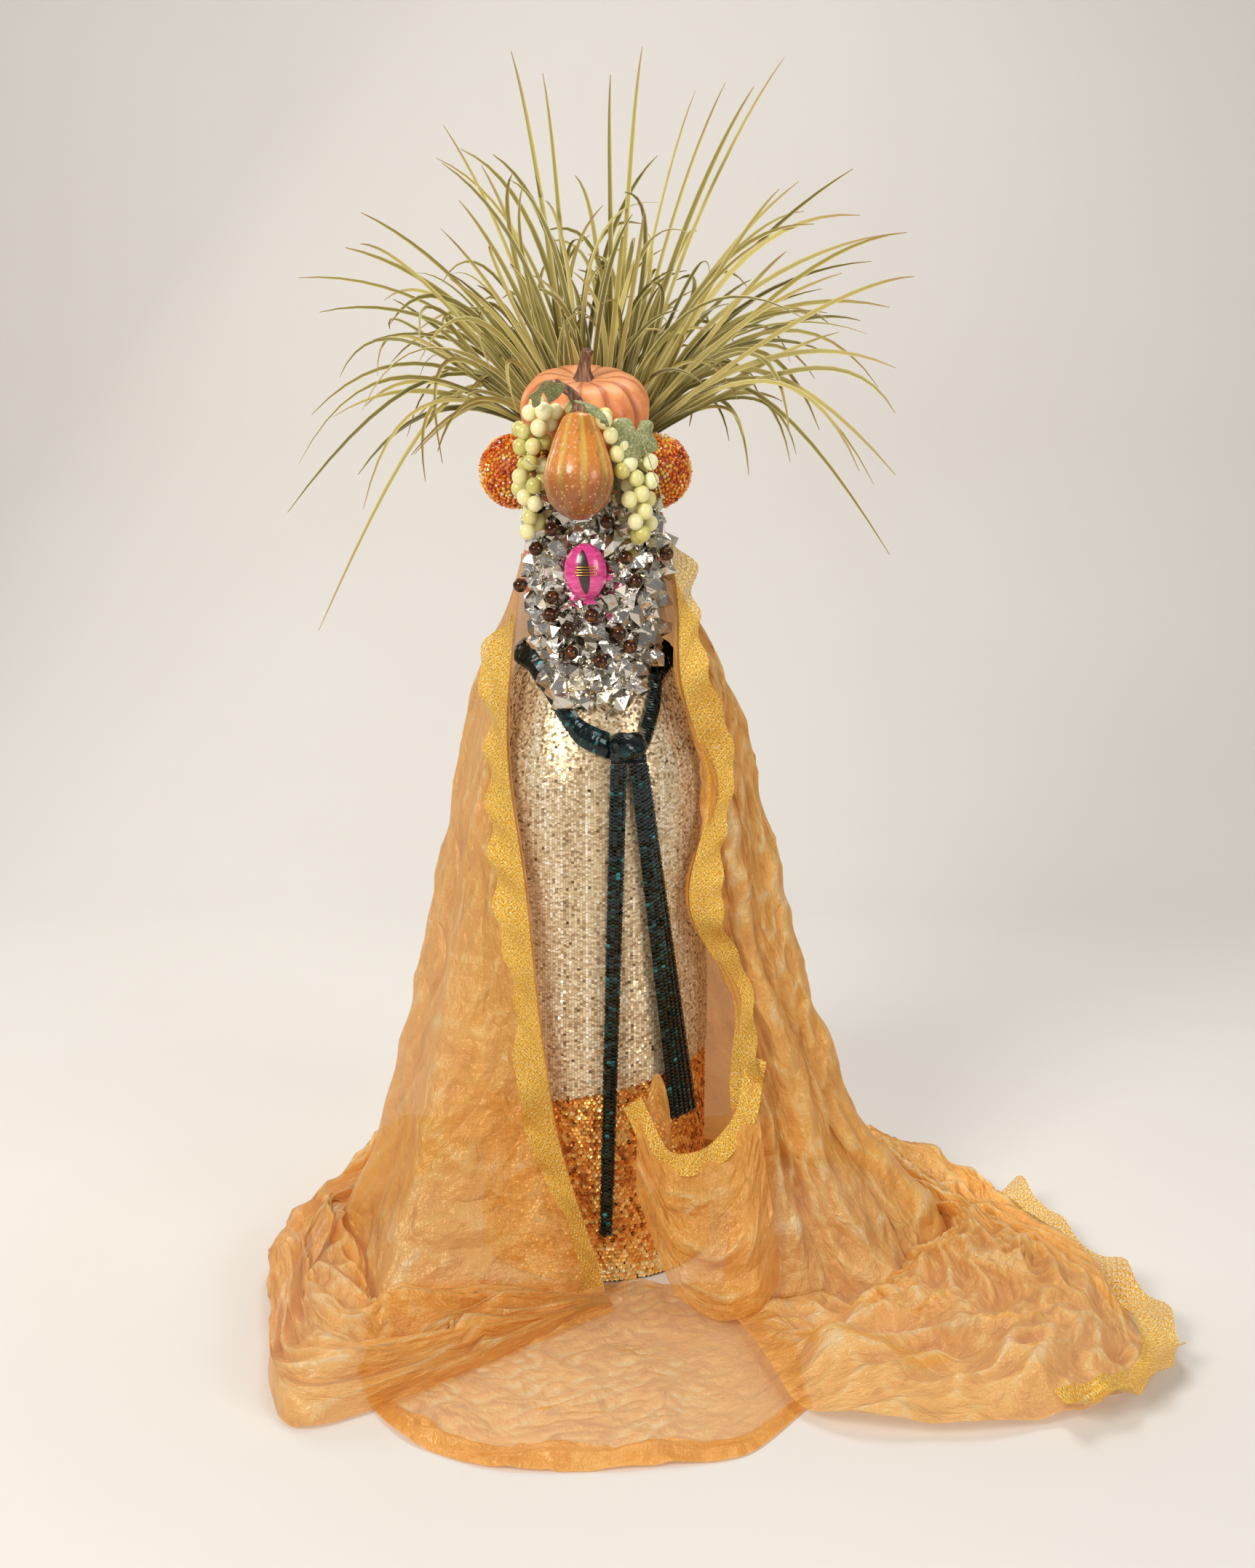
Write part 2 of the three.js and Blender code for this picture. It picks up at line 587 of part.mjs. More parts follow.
// Nuggets stand in staggered rows and leave room for the marbles, the mouth and the fruit.
function nuggetCrust(taken) {
  const random = randomFrom(17);
  const crust = [];
  const rows = Math.round(FACE_HEIGHT / (NUGGET_STEP * 0.88));
  for (let row = 0; row <= rows; row++) {
    const share = row / rows;
    const aboveChin = lerp(NUGGET_SIZE * 0.5, FACE_HEIGHT - NUGGET_SIZE * 0.3, share);
    const reach = faceHalfAngle(aboveChin / FACE_HEIGHT);
    const ring = faceRing(chin + aboveChin) + NUGGET_SIZE * 0.3 + NUGGET_PROUD / 2;
    const places = Math.max(1, Math.round((2 * rad(reach) * ring) / NUGGET_STEP));
    for (let k = 0; k <= places; k++) {
      const along = THREE.MathUtils.clamp((k + (row % 2 ? 0.25 : -0.25)) / places, 0, 1);
      const spot = onFace(FACE_TURN + lerp(-reach, reach, along) + 2 * (random() - 0.5),
        aboveChin + 3 * (random() - 0.5), NUGGET_PROUD * random());
      const size = NUGGET_SIZE * (0.92 + 0.2 * random());
      const shape = nugget(spot, size, random);
      if (taken.every(({ centre, radius }) => centre.distanceTo(spot) > radius + size * 0.32)) crust.push(shape);
    }
  }
  // A marble that the crust does not reach is bedded on a nugget of its own.
  const crusted = largest(join(crust));
  MARBLES.forEach(([angle, share]) => {
    const marble = solid(ball(marbleCentre([angle, share]), marbleRadius, 6, 5));
    if (crusted.minGap(marble, NUGGET_SIZE) < SEAT_GAP) return;
    const bed = onFace(angle, share * FACE_HEIGHT, MARBLE_PROUD - MARBLE_DIAMETER * 0.7);
    crust.push(nugget(bed, NUGGET_SIZE, random));
  });
  return crust;
}

function makeFace(fruit) {
  const marbles = MARBLES.map((place) => solid(ball(marbleCentre(place), marbleRadius + SEAT_GAP * 2, 6, 5)));
  const taken = [
    ...MARBLES.map((place) => ({ centre: marbleCentre(place), radius: marbleRadius * 0.8 })),
    ...Object.values(GRAPES).flat().map((place) => ({ centre: grapeCentre(place), radius: grapeRadius })),
    { centre: mouthCentre, radius: MOUTH_WIDTH / 2 },
  ];
  const mouth = solid(seatMouth(mouthShape(SEAT_GAP)));
  const wireRoom = solid(seatMouth(new THREE.BoxGeometry(
    MOUTH_WIDTH, MOUTH_DEPTH, WIRE_PASSES * WIRE_PITCH).translate(0, -MOUTH_DEPTH / 2, 0)));
  const mask = cut(join(nuggetCrust(taken)), [
    dressedColumn(SEAT_GAP), headSolid(SEAT_GAP, 0), collarSolid(SEAT_GAP), mouth, wireRoom, ...marbles, ...fruit]);
  addPart("nugget_mask", largest(mask), "chrome");
  MARBLES.forEach((place, k) => {
    const marble = solid(ball(marbleCentre(place), marbleRadius, 6, 5));
    addPart(`amber_marble_${String(k + 1).padStart(2, "0")}`, marble, "amber");
  });
  const oval = solid(seatMouth(mouthShape(0)));
  const pocketBack = solid(seatMouth(mouthShape(-SLIT_DEPTH)));
  addPart("mouth_oval", oval.subtract(slitPrism(SEAT_GAP, MOUTH_DEPTH).subtract(pocketBack)), "pink");
  const inlayBack = solid(seatMouth(mouthShape(SEAT_GAP - SLIT_DEPTH)));
  addPart("mouth_slit", largest(slitPrism(0, MOUTH_DEPTH).intersect(oval).subtract(inlayBack)), "dark");
  addPart("mouth_wire", mouthWire(), "gold");
}

// Grapes: places on a ring in front of the face, as [x in head radii, height above the chin in face heights].
const GRAPES = {
  left: [[-0.62, 1.48], [-0.83, 1.47], [-0.69, 1.40], [-0.89, 1.38], [-0.77, 1.31], [-0.94, 1.30],
    [-0.81, 1.23], [-0.97, 1.16], [-0.78, 1.12], [-0.91, 1.06], [-0.73, 1.03], [-0.84, 0.96],
    [-0.86, 0.89]],
  right: [[0.17, 1.44], [0.27, 1.36], [0.45, 1.32], [0.36, 1.27], [0.50, 1.23], [0.41, 1.19],
    [0.78, 1.23], [0.59, 1.16], [0.80, 1.14], [0.67, 1.08], [0.50, 1.05], [0.72, 0.99],
    [0.59, 0.94], [0.70, 0.88]],
};

const grapeCentre = ([side, share]) => {
  const x = side * headRadius;
  return new V3(x, -Math.sqrt(GRAPE_RING ** 2 - x * x), chin + share * FACE_HEIGHT);
};

function grapeBunch(places, grow) {
  const centres = places.map(grapeCentre);
  const spine = [0, 0.35, 0.7, 1].map((share) => {
    const near = centres[Math.round(share * (centres.length - 1))];
    return near.clone().add(new V3(0, grapeRadius * 0.6, 0));
  });
  const rachis = solid(tube(spine, RACHIS_DIAMETER / 2 + grow, 6, 4));
  const curve = new THREE.CatmullRomCurve3(spine);
  const stalks = centres.map((centre) => {
    const along = THREE.MathUtils.clamp((spine[0].z - centre.z) / (spine[0].z - spine[3].z), 0.02, 0.98);
    return solid(rod(centre, curve.getPoint(along), PEDICEL_DIAMETER / 2 + grow, 3));
  });
  const hook = pumpkinCentre.clone().lerp(centres[0], 0.4).setZ(pumpkinCentre.z - PUMPKIN_HEIGHT / 8);
  const hang = solid(rod(centres[0], hook, RACHIS_DIAMETER / 2 + grow, 4));
  return join([rachis, hang, ...stalks, ...centres.map((centre) => solid(ball(centre, grapeRadius + grow, 6, 4)))]);
}

// A five-lobed leaf with a short stalk, flat in X and Z, its stalk end at the origin.
function leafShape(length, grow) {
  const outline = new THREE.Shape();
  const lobes = 5;
  const steps = 30;
  for (let k = 0; k <= steps; k++) {
    const a = lerp(-Math.PI * 0.86, Math.PI * 0.86, k / steps);
    const reach = (length / 2) * (0.78 + 0.22 * Math.cos(lobes * a * 1.15)) * (1 - 0.12 * Math.abs(a)) + grow;
    const [x, z] = [reach * Math.sin(a), -length * 0.45 - reach * Math.cos(a)];
    outline[k ? "lineTo" : "moveTo"](x, z);
  }
  outline.lineTo(1.5 + grow, 0);
  outline.lineTo(-1.5 - grow, 0);
  const depth = LEAF_THICKNESS + 2 * grow;
  return new THREE.ExtrudeGeometry(outline, { depth, bevelEnabled: false })
    .translate(0, 0, -depth / 2).rotateX(Math.PI / 2);
}

// Leaves: size against the longest, place as for the grapes, how far in front in grape radii, and turn.
const LEAVES = {
  leaf_right: { size: 1, at: [0.62, 1.5], proud: 0.75, turn: [-6, 5, 12] },
  leaf_middle: { size: 0.74, at: [0.14, 1.448], proud: 0.45, turn: [-118, 14, 40] },
  leaf_left: { size: 0.78, at: [-0.64, 1.506], proud: 0.3, turn: [-128, -8, -24] },
};

function leafSolid({ size, at, proud, turn }, grow) {
  const spot = grapeCentre(at).add(new V3(0, -proud * grapeRadius, 0));
  const euler = new THREE.Euler(...turn.map(rad));
  const placed = new THREE.Matrix4().makeRotationFromEuler(euler).setPosition(spot);
  return solid(leafShape(size * LEAF_LENGTH, grow).applyMatrix4(placed));
}

function makeFruit() {
  const solids = [pumpkinSolid(SEAT_GAP), gourdSolid(SEAT_GAP), earBall(-1, SEAT_GAP), earBall(1, SEAT_GAP)];
  const leafRoom = Object.values(LEAVES).map((leaf) => leafSolid(leaf, SEAT_GAP));
  Object.entries(GRAPES).forEach(([side, places]) => {
    const bunch = cut(grapeBunch(places, 0), [...solids, ...leafRoom]);
    addPart(`grapes_${side}`, largest(bunch), "grape");
  });
  Object.entries(LEAVES).forEach(([name, leaf]) => {
    addPart(name, largest(cut(leafSolid(leaf, 0), solids)), "leaf");
  });
}

// Grass hair: blades that fan out from one oval plug, each in its own upright plane, so none crosses another.
function grassBlade(k, random) {
  const share = Math.sqrt((k + 0.5) / GRASS_BLADES);
  const turn = k * 2.39996;
  const [out, back] = [Math.cos(turn), Math.sin(turn)];
  const rootSpot = new V3((GRASS_ROOT_WIDTH / 2 - GRASS_WIDTH) * share * out,
    (GRASS_ROOT_DEPTH / 2 - GRASS_WIDTH) * share * back, 0);
  const heading = rootSpot.clone().normalize();
  const length = lerp(GRASS_SHORTEST, GRASS_LONGEST, random() ** 0.8) * (1 - 0.1 * share);
  const sideways = share ** 1.3 * Math.abs(out);
  const lean = rad(74) * sideways + rad(back > 0 ? 34 : 10) * share * Math.abs(back);
  const droop = rad(72) * sideways * share * (0.3 + 0.9 * random());
  const points = [rootSpot.clone()];
  for (let s = 1; s <= GRASS_STEPS; s++) {
    const along = s / GRASS_STEPS;
    const angle = lean * Math.min(1, 0.55 + along) + droop * along * along;
    const step = new V3(0, 0, Math.cos(angle)).addScaledVector(heading, Math.sin(angle));
    points.push(points[s - 1].clone().addScaledVector(step, length / GRASS_STEPS));
  }
  return points;
}

function makeGrass() {
  const random = randomFrom(23);
  const plugFoot = crownTop + SEAT_GAP;
  const centre = new V3(0, CROWN_BACK - GRASS_ROOT_DEPTH / 2 - 6, plugFoot);
  const outline = new THREE.Shape();
  outline.absellipse(0, 0, GRASS_ROOT_WIDTH / 2, GRASS_ROOT_DEPTH / 2, 0, 2 * Math.PI);
  const plug = solid(new THREE.ExtrudeGeometry(outline, {
    depth: GRASS_PLUG_HEIGHT, bevelEnabled: false, curveSegments: 14 }).translate(...centre.toArray()));
  const bunches = { grass_left: [-1, -1 / 3], grass_middle: [-1 / 3, 1 / 3], grass_right: [1 / 3, 1] };
  const blades = Array.from({ length: GRASS_BLADES }, (_, k) => grassBlade(k, random));
  const room = pumpkinSolid(SEAT_GAP);
  Object.entries(bunches).forEach(([name, [from, to]]) => {
    const low = (from * GRASS_ROOT_WIDTH) / 2 + (from > -1 ? SEAT_GAP / 2 : 0);
    const high = (to * GRASS_ROOT_WIDTH) / 2 - (to < 1 ? SEAT_GAP / 2 : 0);
    const slice = solid(new THREE.BoxGeometry(high - low, 2 * GRASS_ROOT_DEPTH, 4 * GRASS_PLUG_HEIGHT)
      .translate((low + high) / 2, centre.y, centre.z));
    const own = blades.filter(([{ x }]) => x > low + GRASS_WIDTH * 0.7 && x < high - GRASS_WIDTH * 0.7);
    const bodies = own.map((points) => {
      const lifted = points.map((p) => p.clone().add(centre).add(new V3(0, 0, GRASS_PLUG_HEIGHT - GRASS_WIDTH / 2)));
      return solid(blade(lifted, GRASS_WIDTH));
    });
    addPart(name, largest(cut(join([plug.intersect(slice), ...bodies]), [room])), "grass");
  });
}

// Gown and underskirt
function makeGown() {
  const skirtRings = [SKIRT_CLEAR, BASE_THICKNESS, ...heights(BASE_THICKNESS + SKIRT_FLARE / 2, BASE_THICKNESS + SKIRT_FLARE, 1), SKIRT_TOP];
  const skirtIn = skirtRings.map((z) => [skirtInner(z), z]);
  const skirtOut = skirtRings.map((z) => [skirtInner(z) + SEQUIN_CLOTH, z]);
  addPart("copper_skirt", solid(revolve(closed([...skirtIn, ...skirtOut.reverse()]))), "copper");
  const gownIn = gownRings.map((z) => [gownInner(z), z]);
  const gownOut = gownRings.map((z) => [gownOuter(z), z]);
  const sleeve = solid(revolve(closed([...gownIn, ...gownOut.reverse()])));
  const reach = 3 * TUBE_DIAMETER;
  const below = solid(new THREE.BoxGeometry(reach, reach, reach).translate(0, 0, -reach / 2)
    .rotateY(rad(-HEM_TILT)).translate(0, 0, HEM_HEIGHT));
  addPart("gown", sleeve.subtract(below), "champagne");
}

// Sash: a collar round the neck, a knot at the front and two hanging tails
const sashRing = (z) => gownOuter(Math.min(z, shoulderTop)) + SASH_EASE + SASH_THICKNESS / 2;
const knotReach = THREE.MathUtils.radToDeg((SASH_KNOT_WIDTH / 2 + SEAT_GAP) / sashRing(knotHeight));

// The collar's centre line, as angle from the knot and climb: up past the right cheek, round the back, down the left.
const COLLAR_LINE = new THREE.CatmullRomCurve3([
  [knotReach, 0.1], [22, 0.5], [34, 0.84], [75, 0.98], [160, 1], [250, 1], [292, 0.94], [314, 0.7], [335, 0.2],
  [360 - knotReach, 0.04],
].map(([angle, climb]) => new V3(angle, climb, 0)), false, "catmullrom", 0.3);

function collarPoint(u, v) {
  const { x: angle, y: climb } = COLLAR_LINE.getPointAt(u);
  const z = lerp(knotHeight, shoulderTop - COLLAR_WIDTH * 0.55, climb) + (v - 0.5) * COLLAR_WIDTH;
  return around(SASH_KNOT_TURN + angle, sashRing(z), z);
}

const collarSolid = (grow) => solid(slab((u, v) =>
  collarPoint(u, 0.5 + (v - 0.5) * (1 + (2 * grow) / COLLAR_WIDTH)), 32, 2, SASH_THICKNESS + 2 * grow));

function tailSlab(topAngle, length, lean, topWidth, endWidth) {
  const topHeight = knotHeight - SASH_KNOT_HEIGHT * 0.42;
  const start = around(topAngle, sashRing(topHeight) + 1, topHeight);
  return slab((u, v) => {
    const x = start.x + lean * v + (u - 0.5) * lerp(topWidth, endWidth, v);
    const z = topHeight - length * v;
    const ring = Math.max(sashRing(Math.max(z, HEM_HEIGHT)), skirtInner(Math.max(z, 0)) + SASH_THICKNESS);
    return new V3(x, -Math.sqrt(Math.max(ring ** 2 - x * x, 0)) - 1 - TAIL_STAND_OFF * v, z);
  }, 3, 12, SASH_THICKNESS);
}

const knotSolid = (grow) => solid(new THREE.IcosahedronGeometry(1, 2)
  .scale(SASH_KNOT_WIDTH / 2 + grow, SASH_THICKNESS * 2 + grow, SASH_KNOT_HEIGHT / 2 + grow)
  .rotateZ(rad(SASH_KNOT_TURN))
  .translate(...around(SASH_KNOT_TURN, sashRing(knotHeight) + SASH_THICKNESS / 2, knotHeight).toArray()));

function makeSash() {
  addPart("sash_collar", cut(collarSolid(0), [knotSolid(SEAT_GAP)]), "sash");
  addPart("sash_knot", largest(knotSolid(0).subtract(dressedColumn(SEAT_GAP))), "sash");
  const spread = knotReach * 0.5;
  const tails = {
    sash_tail_left: [SASH_KNOT_TURN - spread, TAIL_LEFT_LENGTH, TAIL_LEFT_LEAN, SASH_WIDTH * 0.55, TAIL_LEFT_END_WIDTH],
    sash_tail_right: [SASH_KNOT_TURN + spread, TAIL_RIGHT_LENGTH, TAIL_RIGHT_LEAN, SASH_WIDTH * 0.6, SASH_WIDTH],
  };
  Object.entries(tails).forEach(([name, sizes]) => {
    addPart(name, largest(solid(tailSlab(...sizes)).subtract(knotSolid(SEAT_GAP))), "sash");
  });
}

// Cape: one sheet hung from the back of the head. Ten fall lines run from the left front edge round the back
// to the right front edge. Each gives its angle at the head, its plan in base radii at a fifth, a half and three
// quarters of the way down and at the floor, where its cloth ends on the floor, and how high it mounds there.
const CAPE_LINES = [
  { angle: -80, plan: [[-0.64, -0.79], [-0.49, -1.08], [-0.32, -1.16], [0.11, -1.31]], end: [0.17, -1.57], mound: 0.06 },
  { angle: -97, plan: [[-0.92, -0.34], [-1.12, -0.58], [-1.40, -1.05], [-1.76, -1.78]], end: [-2.22, -3.10], mound: 0.32 },
  { angle: -116, plan: [[-1.01, 0.15], [-1.38, 0.19], [-1.72, 0.04], [-2.21, -0.28]], end: [-2.62, -1.05], mound: 0.36 },
  { angle: -146, plan: [[-0.67, 0.77], [-0.95, 1.08], [-1.18, 1.31], [-1.57, 1.50]], end: [-2.07, 1.74], mound: 0.21 },
  { angle: 180, plan: [[0.04, 0.97], [0.05, 1.29], [0.07, 1.55], [0.09, 1.82]], end: [0.11, 2.34], mound: 0.13 },
  { angle: 146, plan: [[0.73, 0.77], [1.08, 1.05], [1.42, 1.29], [2.06, 1.54]], end: [2.80, 1.73], mound: 0.17 },
  { angle: 117, plan: [[1.16, 0.19], [1.64, 0.21], [2.11, 0.19], [3.08, 0.17]], end: [3.78, 0.22], mound: 0.21 },
  { angle: 98, plan: [[1.05, -0.22], [1.42, -0.37], [1.94, -0.54], [2.80, -0.90]], end: [4.43, -2.21], mound: 0.26 },
  { angle: 86, plan: [[0.93, -0.44], [1.14, -0.48], [1.56, -0.84], [2.05, -1.38]], end: [3.63, -3.16], mound: 0.24 },
  { angle: 74, plan: [[0.80, -0.62], [0.94, -0.63], [1.20, -0.95], [1.08, -1.42]], end: [1.61, -3.44], mound: 0.11 },
];
const CAPE_STEPS = [0, 0.2, 0.5, 0.75, 1];

const floorSpot = ([x, y]) => new V3(x, y, 0).multiplyScalar(BASE_DIAMETER / 2);
const capeHang = CAPE_LINES.map(({ angle, plan }) => {
  const top = around(angle, headRadius + CLOTH_EASE + CAPE_CLOTH / 2, 0);
  return new THREE.CatmullRomCurve3([top, ...plan.map(floorSpot)], false, "catmullrom", 0.4);
});

function capePoint(u, v) {
  const hang = Math.min(v / CAPE_HANG_SHARE, 1);
  const pool = Math.max((v - CAPE_HANG_SHARE) / (1 - CAPE_HANG_SHARE), 0);
  const key = CAPE_STEPS.findIndex((step, k) => hang <= CAPE_STEPS[k + 1]);
  const share = (key + (hang - CAPE_STEPS[key]) / (CAPE_STEPS[key + 1] - CAPE_STEPS[key])) / (CAPE_STEPS.length - 1);
  const plan = CAPE_LINES.map(({ end, mound }, k) => {
    const foot = capeHang[k].getPoint(share);
    return foot.lerp(floorSpot(end), pool).setZ((mound * BASE_DIAMETER) / 2);
  });
  const line = new THREE.CatmullRomCurve3(plan, false, "catmullrom", 0.4);
  const spot = line.getPoint(u);
  const tangent = line.getTangent(u);
  const outward = new V3(-tangent.y, tangent.x, 0).normalize();
  const edge = Math.sin(Math.PI * u) ** 0.5;
  const wave = Math.sin(2 * Math.PI * CAPE_FOLDS * u) * edge;
  spot.addScaledVector(outward, -CAPE_FOLD_DEPTH * hang * (1 - pool) * wave);
  const swell = spot.z * Math.sin(Math.PI * pool) * (0.75 + 0.25 * Math.sin(2 * Math.PI * CAPE_FOLDS * u + 4 * pool));
  const rise = CAPE_CORNER_RISE * THREE.MathUtils.smoothstep(u, 0.8, 1) * (1 - hang) ** 4;
  spot.z = CAPE_LIFT + (capeTop - CAPE_LIFT) * (1 - hang) + rise + swell;
  return spot;
}

function makeCape() {
  const panels = { cape_left: [0, 0.36, 13], cape_back: [0.36, 0.56, 7], cape_right: [0.56, 1, 16] };
  const room = [dressedColumn(SEAT_GAP), headSolid(SEAT_GAP, 0)];
  Object.entries(panels).forEach(([name, [from, to, columns]]) => {
    const inset = 0.0012;
    const [a, b] = [from + (from > 0 ? inset : 0), to - (to < 1 ? inset : 0)];
    const panel = solid(slab((u, v) => capePoint(lerp(a, b, u), v), columns, 12, CAPE_CLOTH));
    addPart(name, largest(cut(panel, room)), "organza");
  });
  const front = skirtInner(0) + SEQUIN_CLOTH + 4;
  addPart("train_front", solid(slab((u, v) => {
    const y = -lerp(front, TRAIN_FRONT_REACH - 45 * (2 * u - 1) ** 2, v);
    const x = lerp(-0.54, 0.46, u) * TRAIN_FRONT_WIDTH * (1.1 - 0.1 * v);
    return new V3(x, y, CAPE_CLOTH / 2);
  }, 7, 4, CAPE_CLOTH)), "organza");
}

// Ribbon: a lapel of gold mesh that turns back from each front edge of the cape, and a frill on the train.
function lapel(edge, inwards, from, to, rows, ease) {
  return slab((u, v) => {
    const down = lerp(from, to, v);
    const start = capePoint(edge, down);
    const across = capePoint(edge + inwards * 0.01, down).sub(start).normalize();
    const along = capePoint(edge, down + 0.01).sub(capePoint(edge, down - 0.01)).normalize();
    const out = across.clone().cross(along).multiplyScalar(inwards).normalize();
    const lift = rad(RIBBON_LAPEL + 12 * Math.sin(9 * v * Math.PI));
    const clear = CAPE_CLOTH / 2 + RIBBON_THICKNESS / 2 + ease;
    return start.addScaledVector(out, clear + u * RIBBON_WIDTH * Math.sin(lift))
      .addScaledVector(across, u * RIBBON_WIDTH * Math.cos(lift));
  }, 2, rows, RIBBON_THICKNESS);
}

function makeRibbon() {
  addPart("ribbon_left", solid(lapel(0, 1, 0.06, 0.585, 20, CLOTH_EASE)), "ribbon");
  addPart("ribbon_right", solid(lapel(1, -1, 0.015, 0.465, 20, CLOTH_EASE * 3.6)), "ribbon");
  addPart("ribbon_train", solid(slab((u, v) => {
    const along = lerp(0.66, 0.88, v);
    const rim = capePoint(along, 1);
    const run = capePoint(along + 0.01, 1).sub(capePoint(along - 0.01, 1)).setZ(0).normalize();
    const out = new V3(-run.y, run.x, 0);
    const wave = Math.sin(2 * Math.PI * 3.5 * v);
    return rim.addScaledVector(out, CLOTH_EASE * 2 + u * RIBBON_WIDTH).add(new V3(0, 0, u * (9 + 8 * wave)));
  }, 2, 21, RIBBON_THICKNESS)), "ribbon");
}

// Swag: a fold of the cape drawn across the foot of the skirt in a soft cowl, from right to left.
// Its upper and lower edges are in base radii.
const SWAG_TOP = [[1.3, -0.936, 1.66], [1.19, -1.09, 1.4], [0.94, -1.22, 1.27], [0.65, -1.28, 1.27], [0.4, -1.22, 1.74]];
const SWAG_FOOT = [[1.36, -1.51, 0.3], [1.22, -1.68, 0.145], [0.95, -1.66, 0.044], [0.72, -1.52, 0.4], [0.5, -1.28, 0.85]];

function makeSwag() {
  const edge = (places) => new THREE.CatmullRomCurve3(
    places.map((place) => new V3(...place).multiplyScalar(BASE_DIAMETER / 2)), false, "catmullrom", 0.4);
  const [top, foot] = [edge(SWAG_TOP), edge(SWAG_FOOT)];
  addPart("cape_swag", solid(slab((u, v) => {
    const spot = top.getPoint(u).lerp(foot.getPoint(u), v);
    return spot.add(new V3(0, -SWAG_BELLY * Math.sin(Math.PI * v), 0));
  }, 10, 4, CAPE_CLOTH)), "organza");
}

makeColumn();
makeHeadCore();
makePumpkinAndGourd();
makeFruit();
makeFace([pumpkinSolid(SEAT_GAP), gourdSolid(SEAT_GAP), earBall(-1, SEAT_GAP), earBall(1, SEAT_GAP),
  ...Object.values(GRAPES).map((places) => grapeBunch(places, SEAT_GAP))]);
makeGrass();
makeGown();
makeSash();
makeCape();
makeRibbon();
makeSwag();

export default root;
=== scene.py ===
# %% [markdown]
# # A harvest art doll
# The doll is a column of card and foam in a sequinned gown. Its face is a crust of foil nuggets with a gourd for a
# nose, beaded balls for ears and grass for hair, and a sheer cape falls from its head into a pool on the floor.
# The solid model already holds every size, so this lesson starts from that frame and dresses it.

import math

import bmesh
import bpy
import numpy as np
from mathutils import Matrix, Vector, noise


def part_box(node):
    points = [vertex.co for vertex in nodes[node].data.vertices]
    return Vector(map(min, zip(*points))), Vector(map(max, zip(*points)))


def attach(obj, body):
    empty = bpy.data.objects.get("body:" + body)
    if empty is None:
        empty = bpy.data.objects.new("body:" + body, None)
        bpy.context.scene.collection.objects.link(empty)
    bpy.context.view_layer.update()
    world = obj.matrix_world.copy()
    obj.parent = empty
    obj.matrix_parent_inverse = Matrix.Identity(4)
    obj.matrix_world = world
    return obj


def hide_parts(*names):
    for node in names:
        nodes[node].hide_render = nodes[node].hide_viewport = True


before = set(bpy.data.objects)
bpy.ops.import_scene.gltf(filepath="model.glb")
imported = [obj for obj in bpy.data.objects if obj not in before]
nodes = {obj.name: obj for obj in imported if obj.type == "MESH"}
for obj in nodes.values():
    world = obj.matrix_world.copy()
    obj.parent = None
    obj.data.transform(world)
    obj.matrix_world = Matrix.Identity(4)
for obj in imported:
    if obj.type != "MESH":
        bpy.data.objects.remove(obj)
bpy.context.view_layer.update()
print("solids in the frame:", len(nodes))

# %% [markdown]
# ## Camera
# The photograph looks a little down on the doll from the front. A camera can be guessed by eye, but here its height,
# distance and lens come from the round base and the straight tube, whose outlines fix the view.

# %% Camera
CAMERA_PLACE = (0.031, -1.600, 0.758)
CAMERA_PITCH = math.radians(79)
CAMERA_LENS = 40.07

scene = bpy.context.scene
scene.view_settings.view_transform = "Standard"
camera = bpy.data.objects.new("photo_camera", bpy.data.cameras.new("photo_camera"))
camera.location = CAMERA_PLACE
camera.rotation_euler = (CAMERA_PITCH, 0, 0)
camera.data.lens = CAMERA_LENS
scene.collection.objects.link(camera)
scene.camera = camera
print("camera at", CAMERA_PLACE, "lens", CAMERA_LENS)

# %% [markdown]
# ## Light
# Foil and sequins show what stands round them. An even white dome would make them flat grey, so the world is dim,
# and a few large soft lamps give each facet either a bright panel or a quiet one to mirror.

# %% Light
LAMPS = {
    "key_panel": {"place": (-1.5, -2.1, 2.1), "size": 1.1, "power": 63, "tint": (1.0, 0.95, 0.88)},
    "fill_panel": {"place": (1.9, -1.7, 1.3), "size": 1.1, "power": 21, "tint": (1.0, 0.96, 0.92)},
    "top_panel": {"place": (0.3, 0.5, 2.6), "size": 1.3, "power": 26, "tint": (1.0, 0.98, 0.95)},
    "back_panel": {"place": (-1.3, 1.2, 1.5), "size": 0.8, "power": 10, "tint": (1.0, 0.97, 0.93)},
}
AIM = Vector((0, 0, 0.5))
WORLD_TONE = (0.25, 0.25, 0.26, 1)

for name, lamp in LAMPS.items():
    light = bpy.data.lights.new(name, "AREA")
    light.size = lamp["size"]
    light.energy = lamp["power"]
    light.color = lamp["tint"]
    holder = bpy.data.objects.new(name, light)
    holder.location = lamp["place"]
    holder.rotation_euler = (AIM - holder.location).to_track_quat("-Z", "Y").to_euler()
    scene.collection.objects.link(holder)

world = bpy.data.worlds.new("studio")
world.use_nodes = True
world.node_tree.nodes["Background"].inputs["Color"].default_value = WORLD_TONE
scene.world = world
print("lamps:", ", ".join(LAMPS))

# %% [markdown]
# ## A way to write finishes
# A finish is a small graph of shader nodes. Wiring each node by hand hides the idea, so one class wraps a socket
# and gives it arithmetic, and another makes any node from its type, its settings and its inputs.

# %% Values as expressions
def srgb(text):
    """A colour as it is picked from a screen, as the linear colour that shaders use."""
    parts = [int(text[k:k + 2], 16) / 255 for k in (1, 3, 5)]
    return (*[c / 12.92 if c <= 0.04045 else ((c + 0.055) / 1.055) ** 2.4 for c in parts], 1.0)


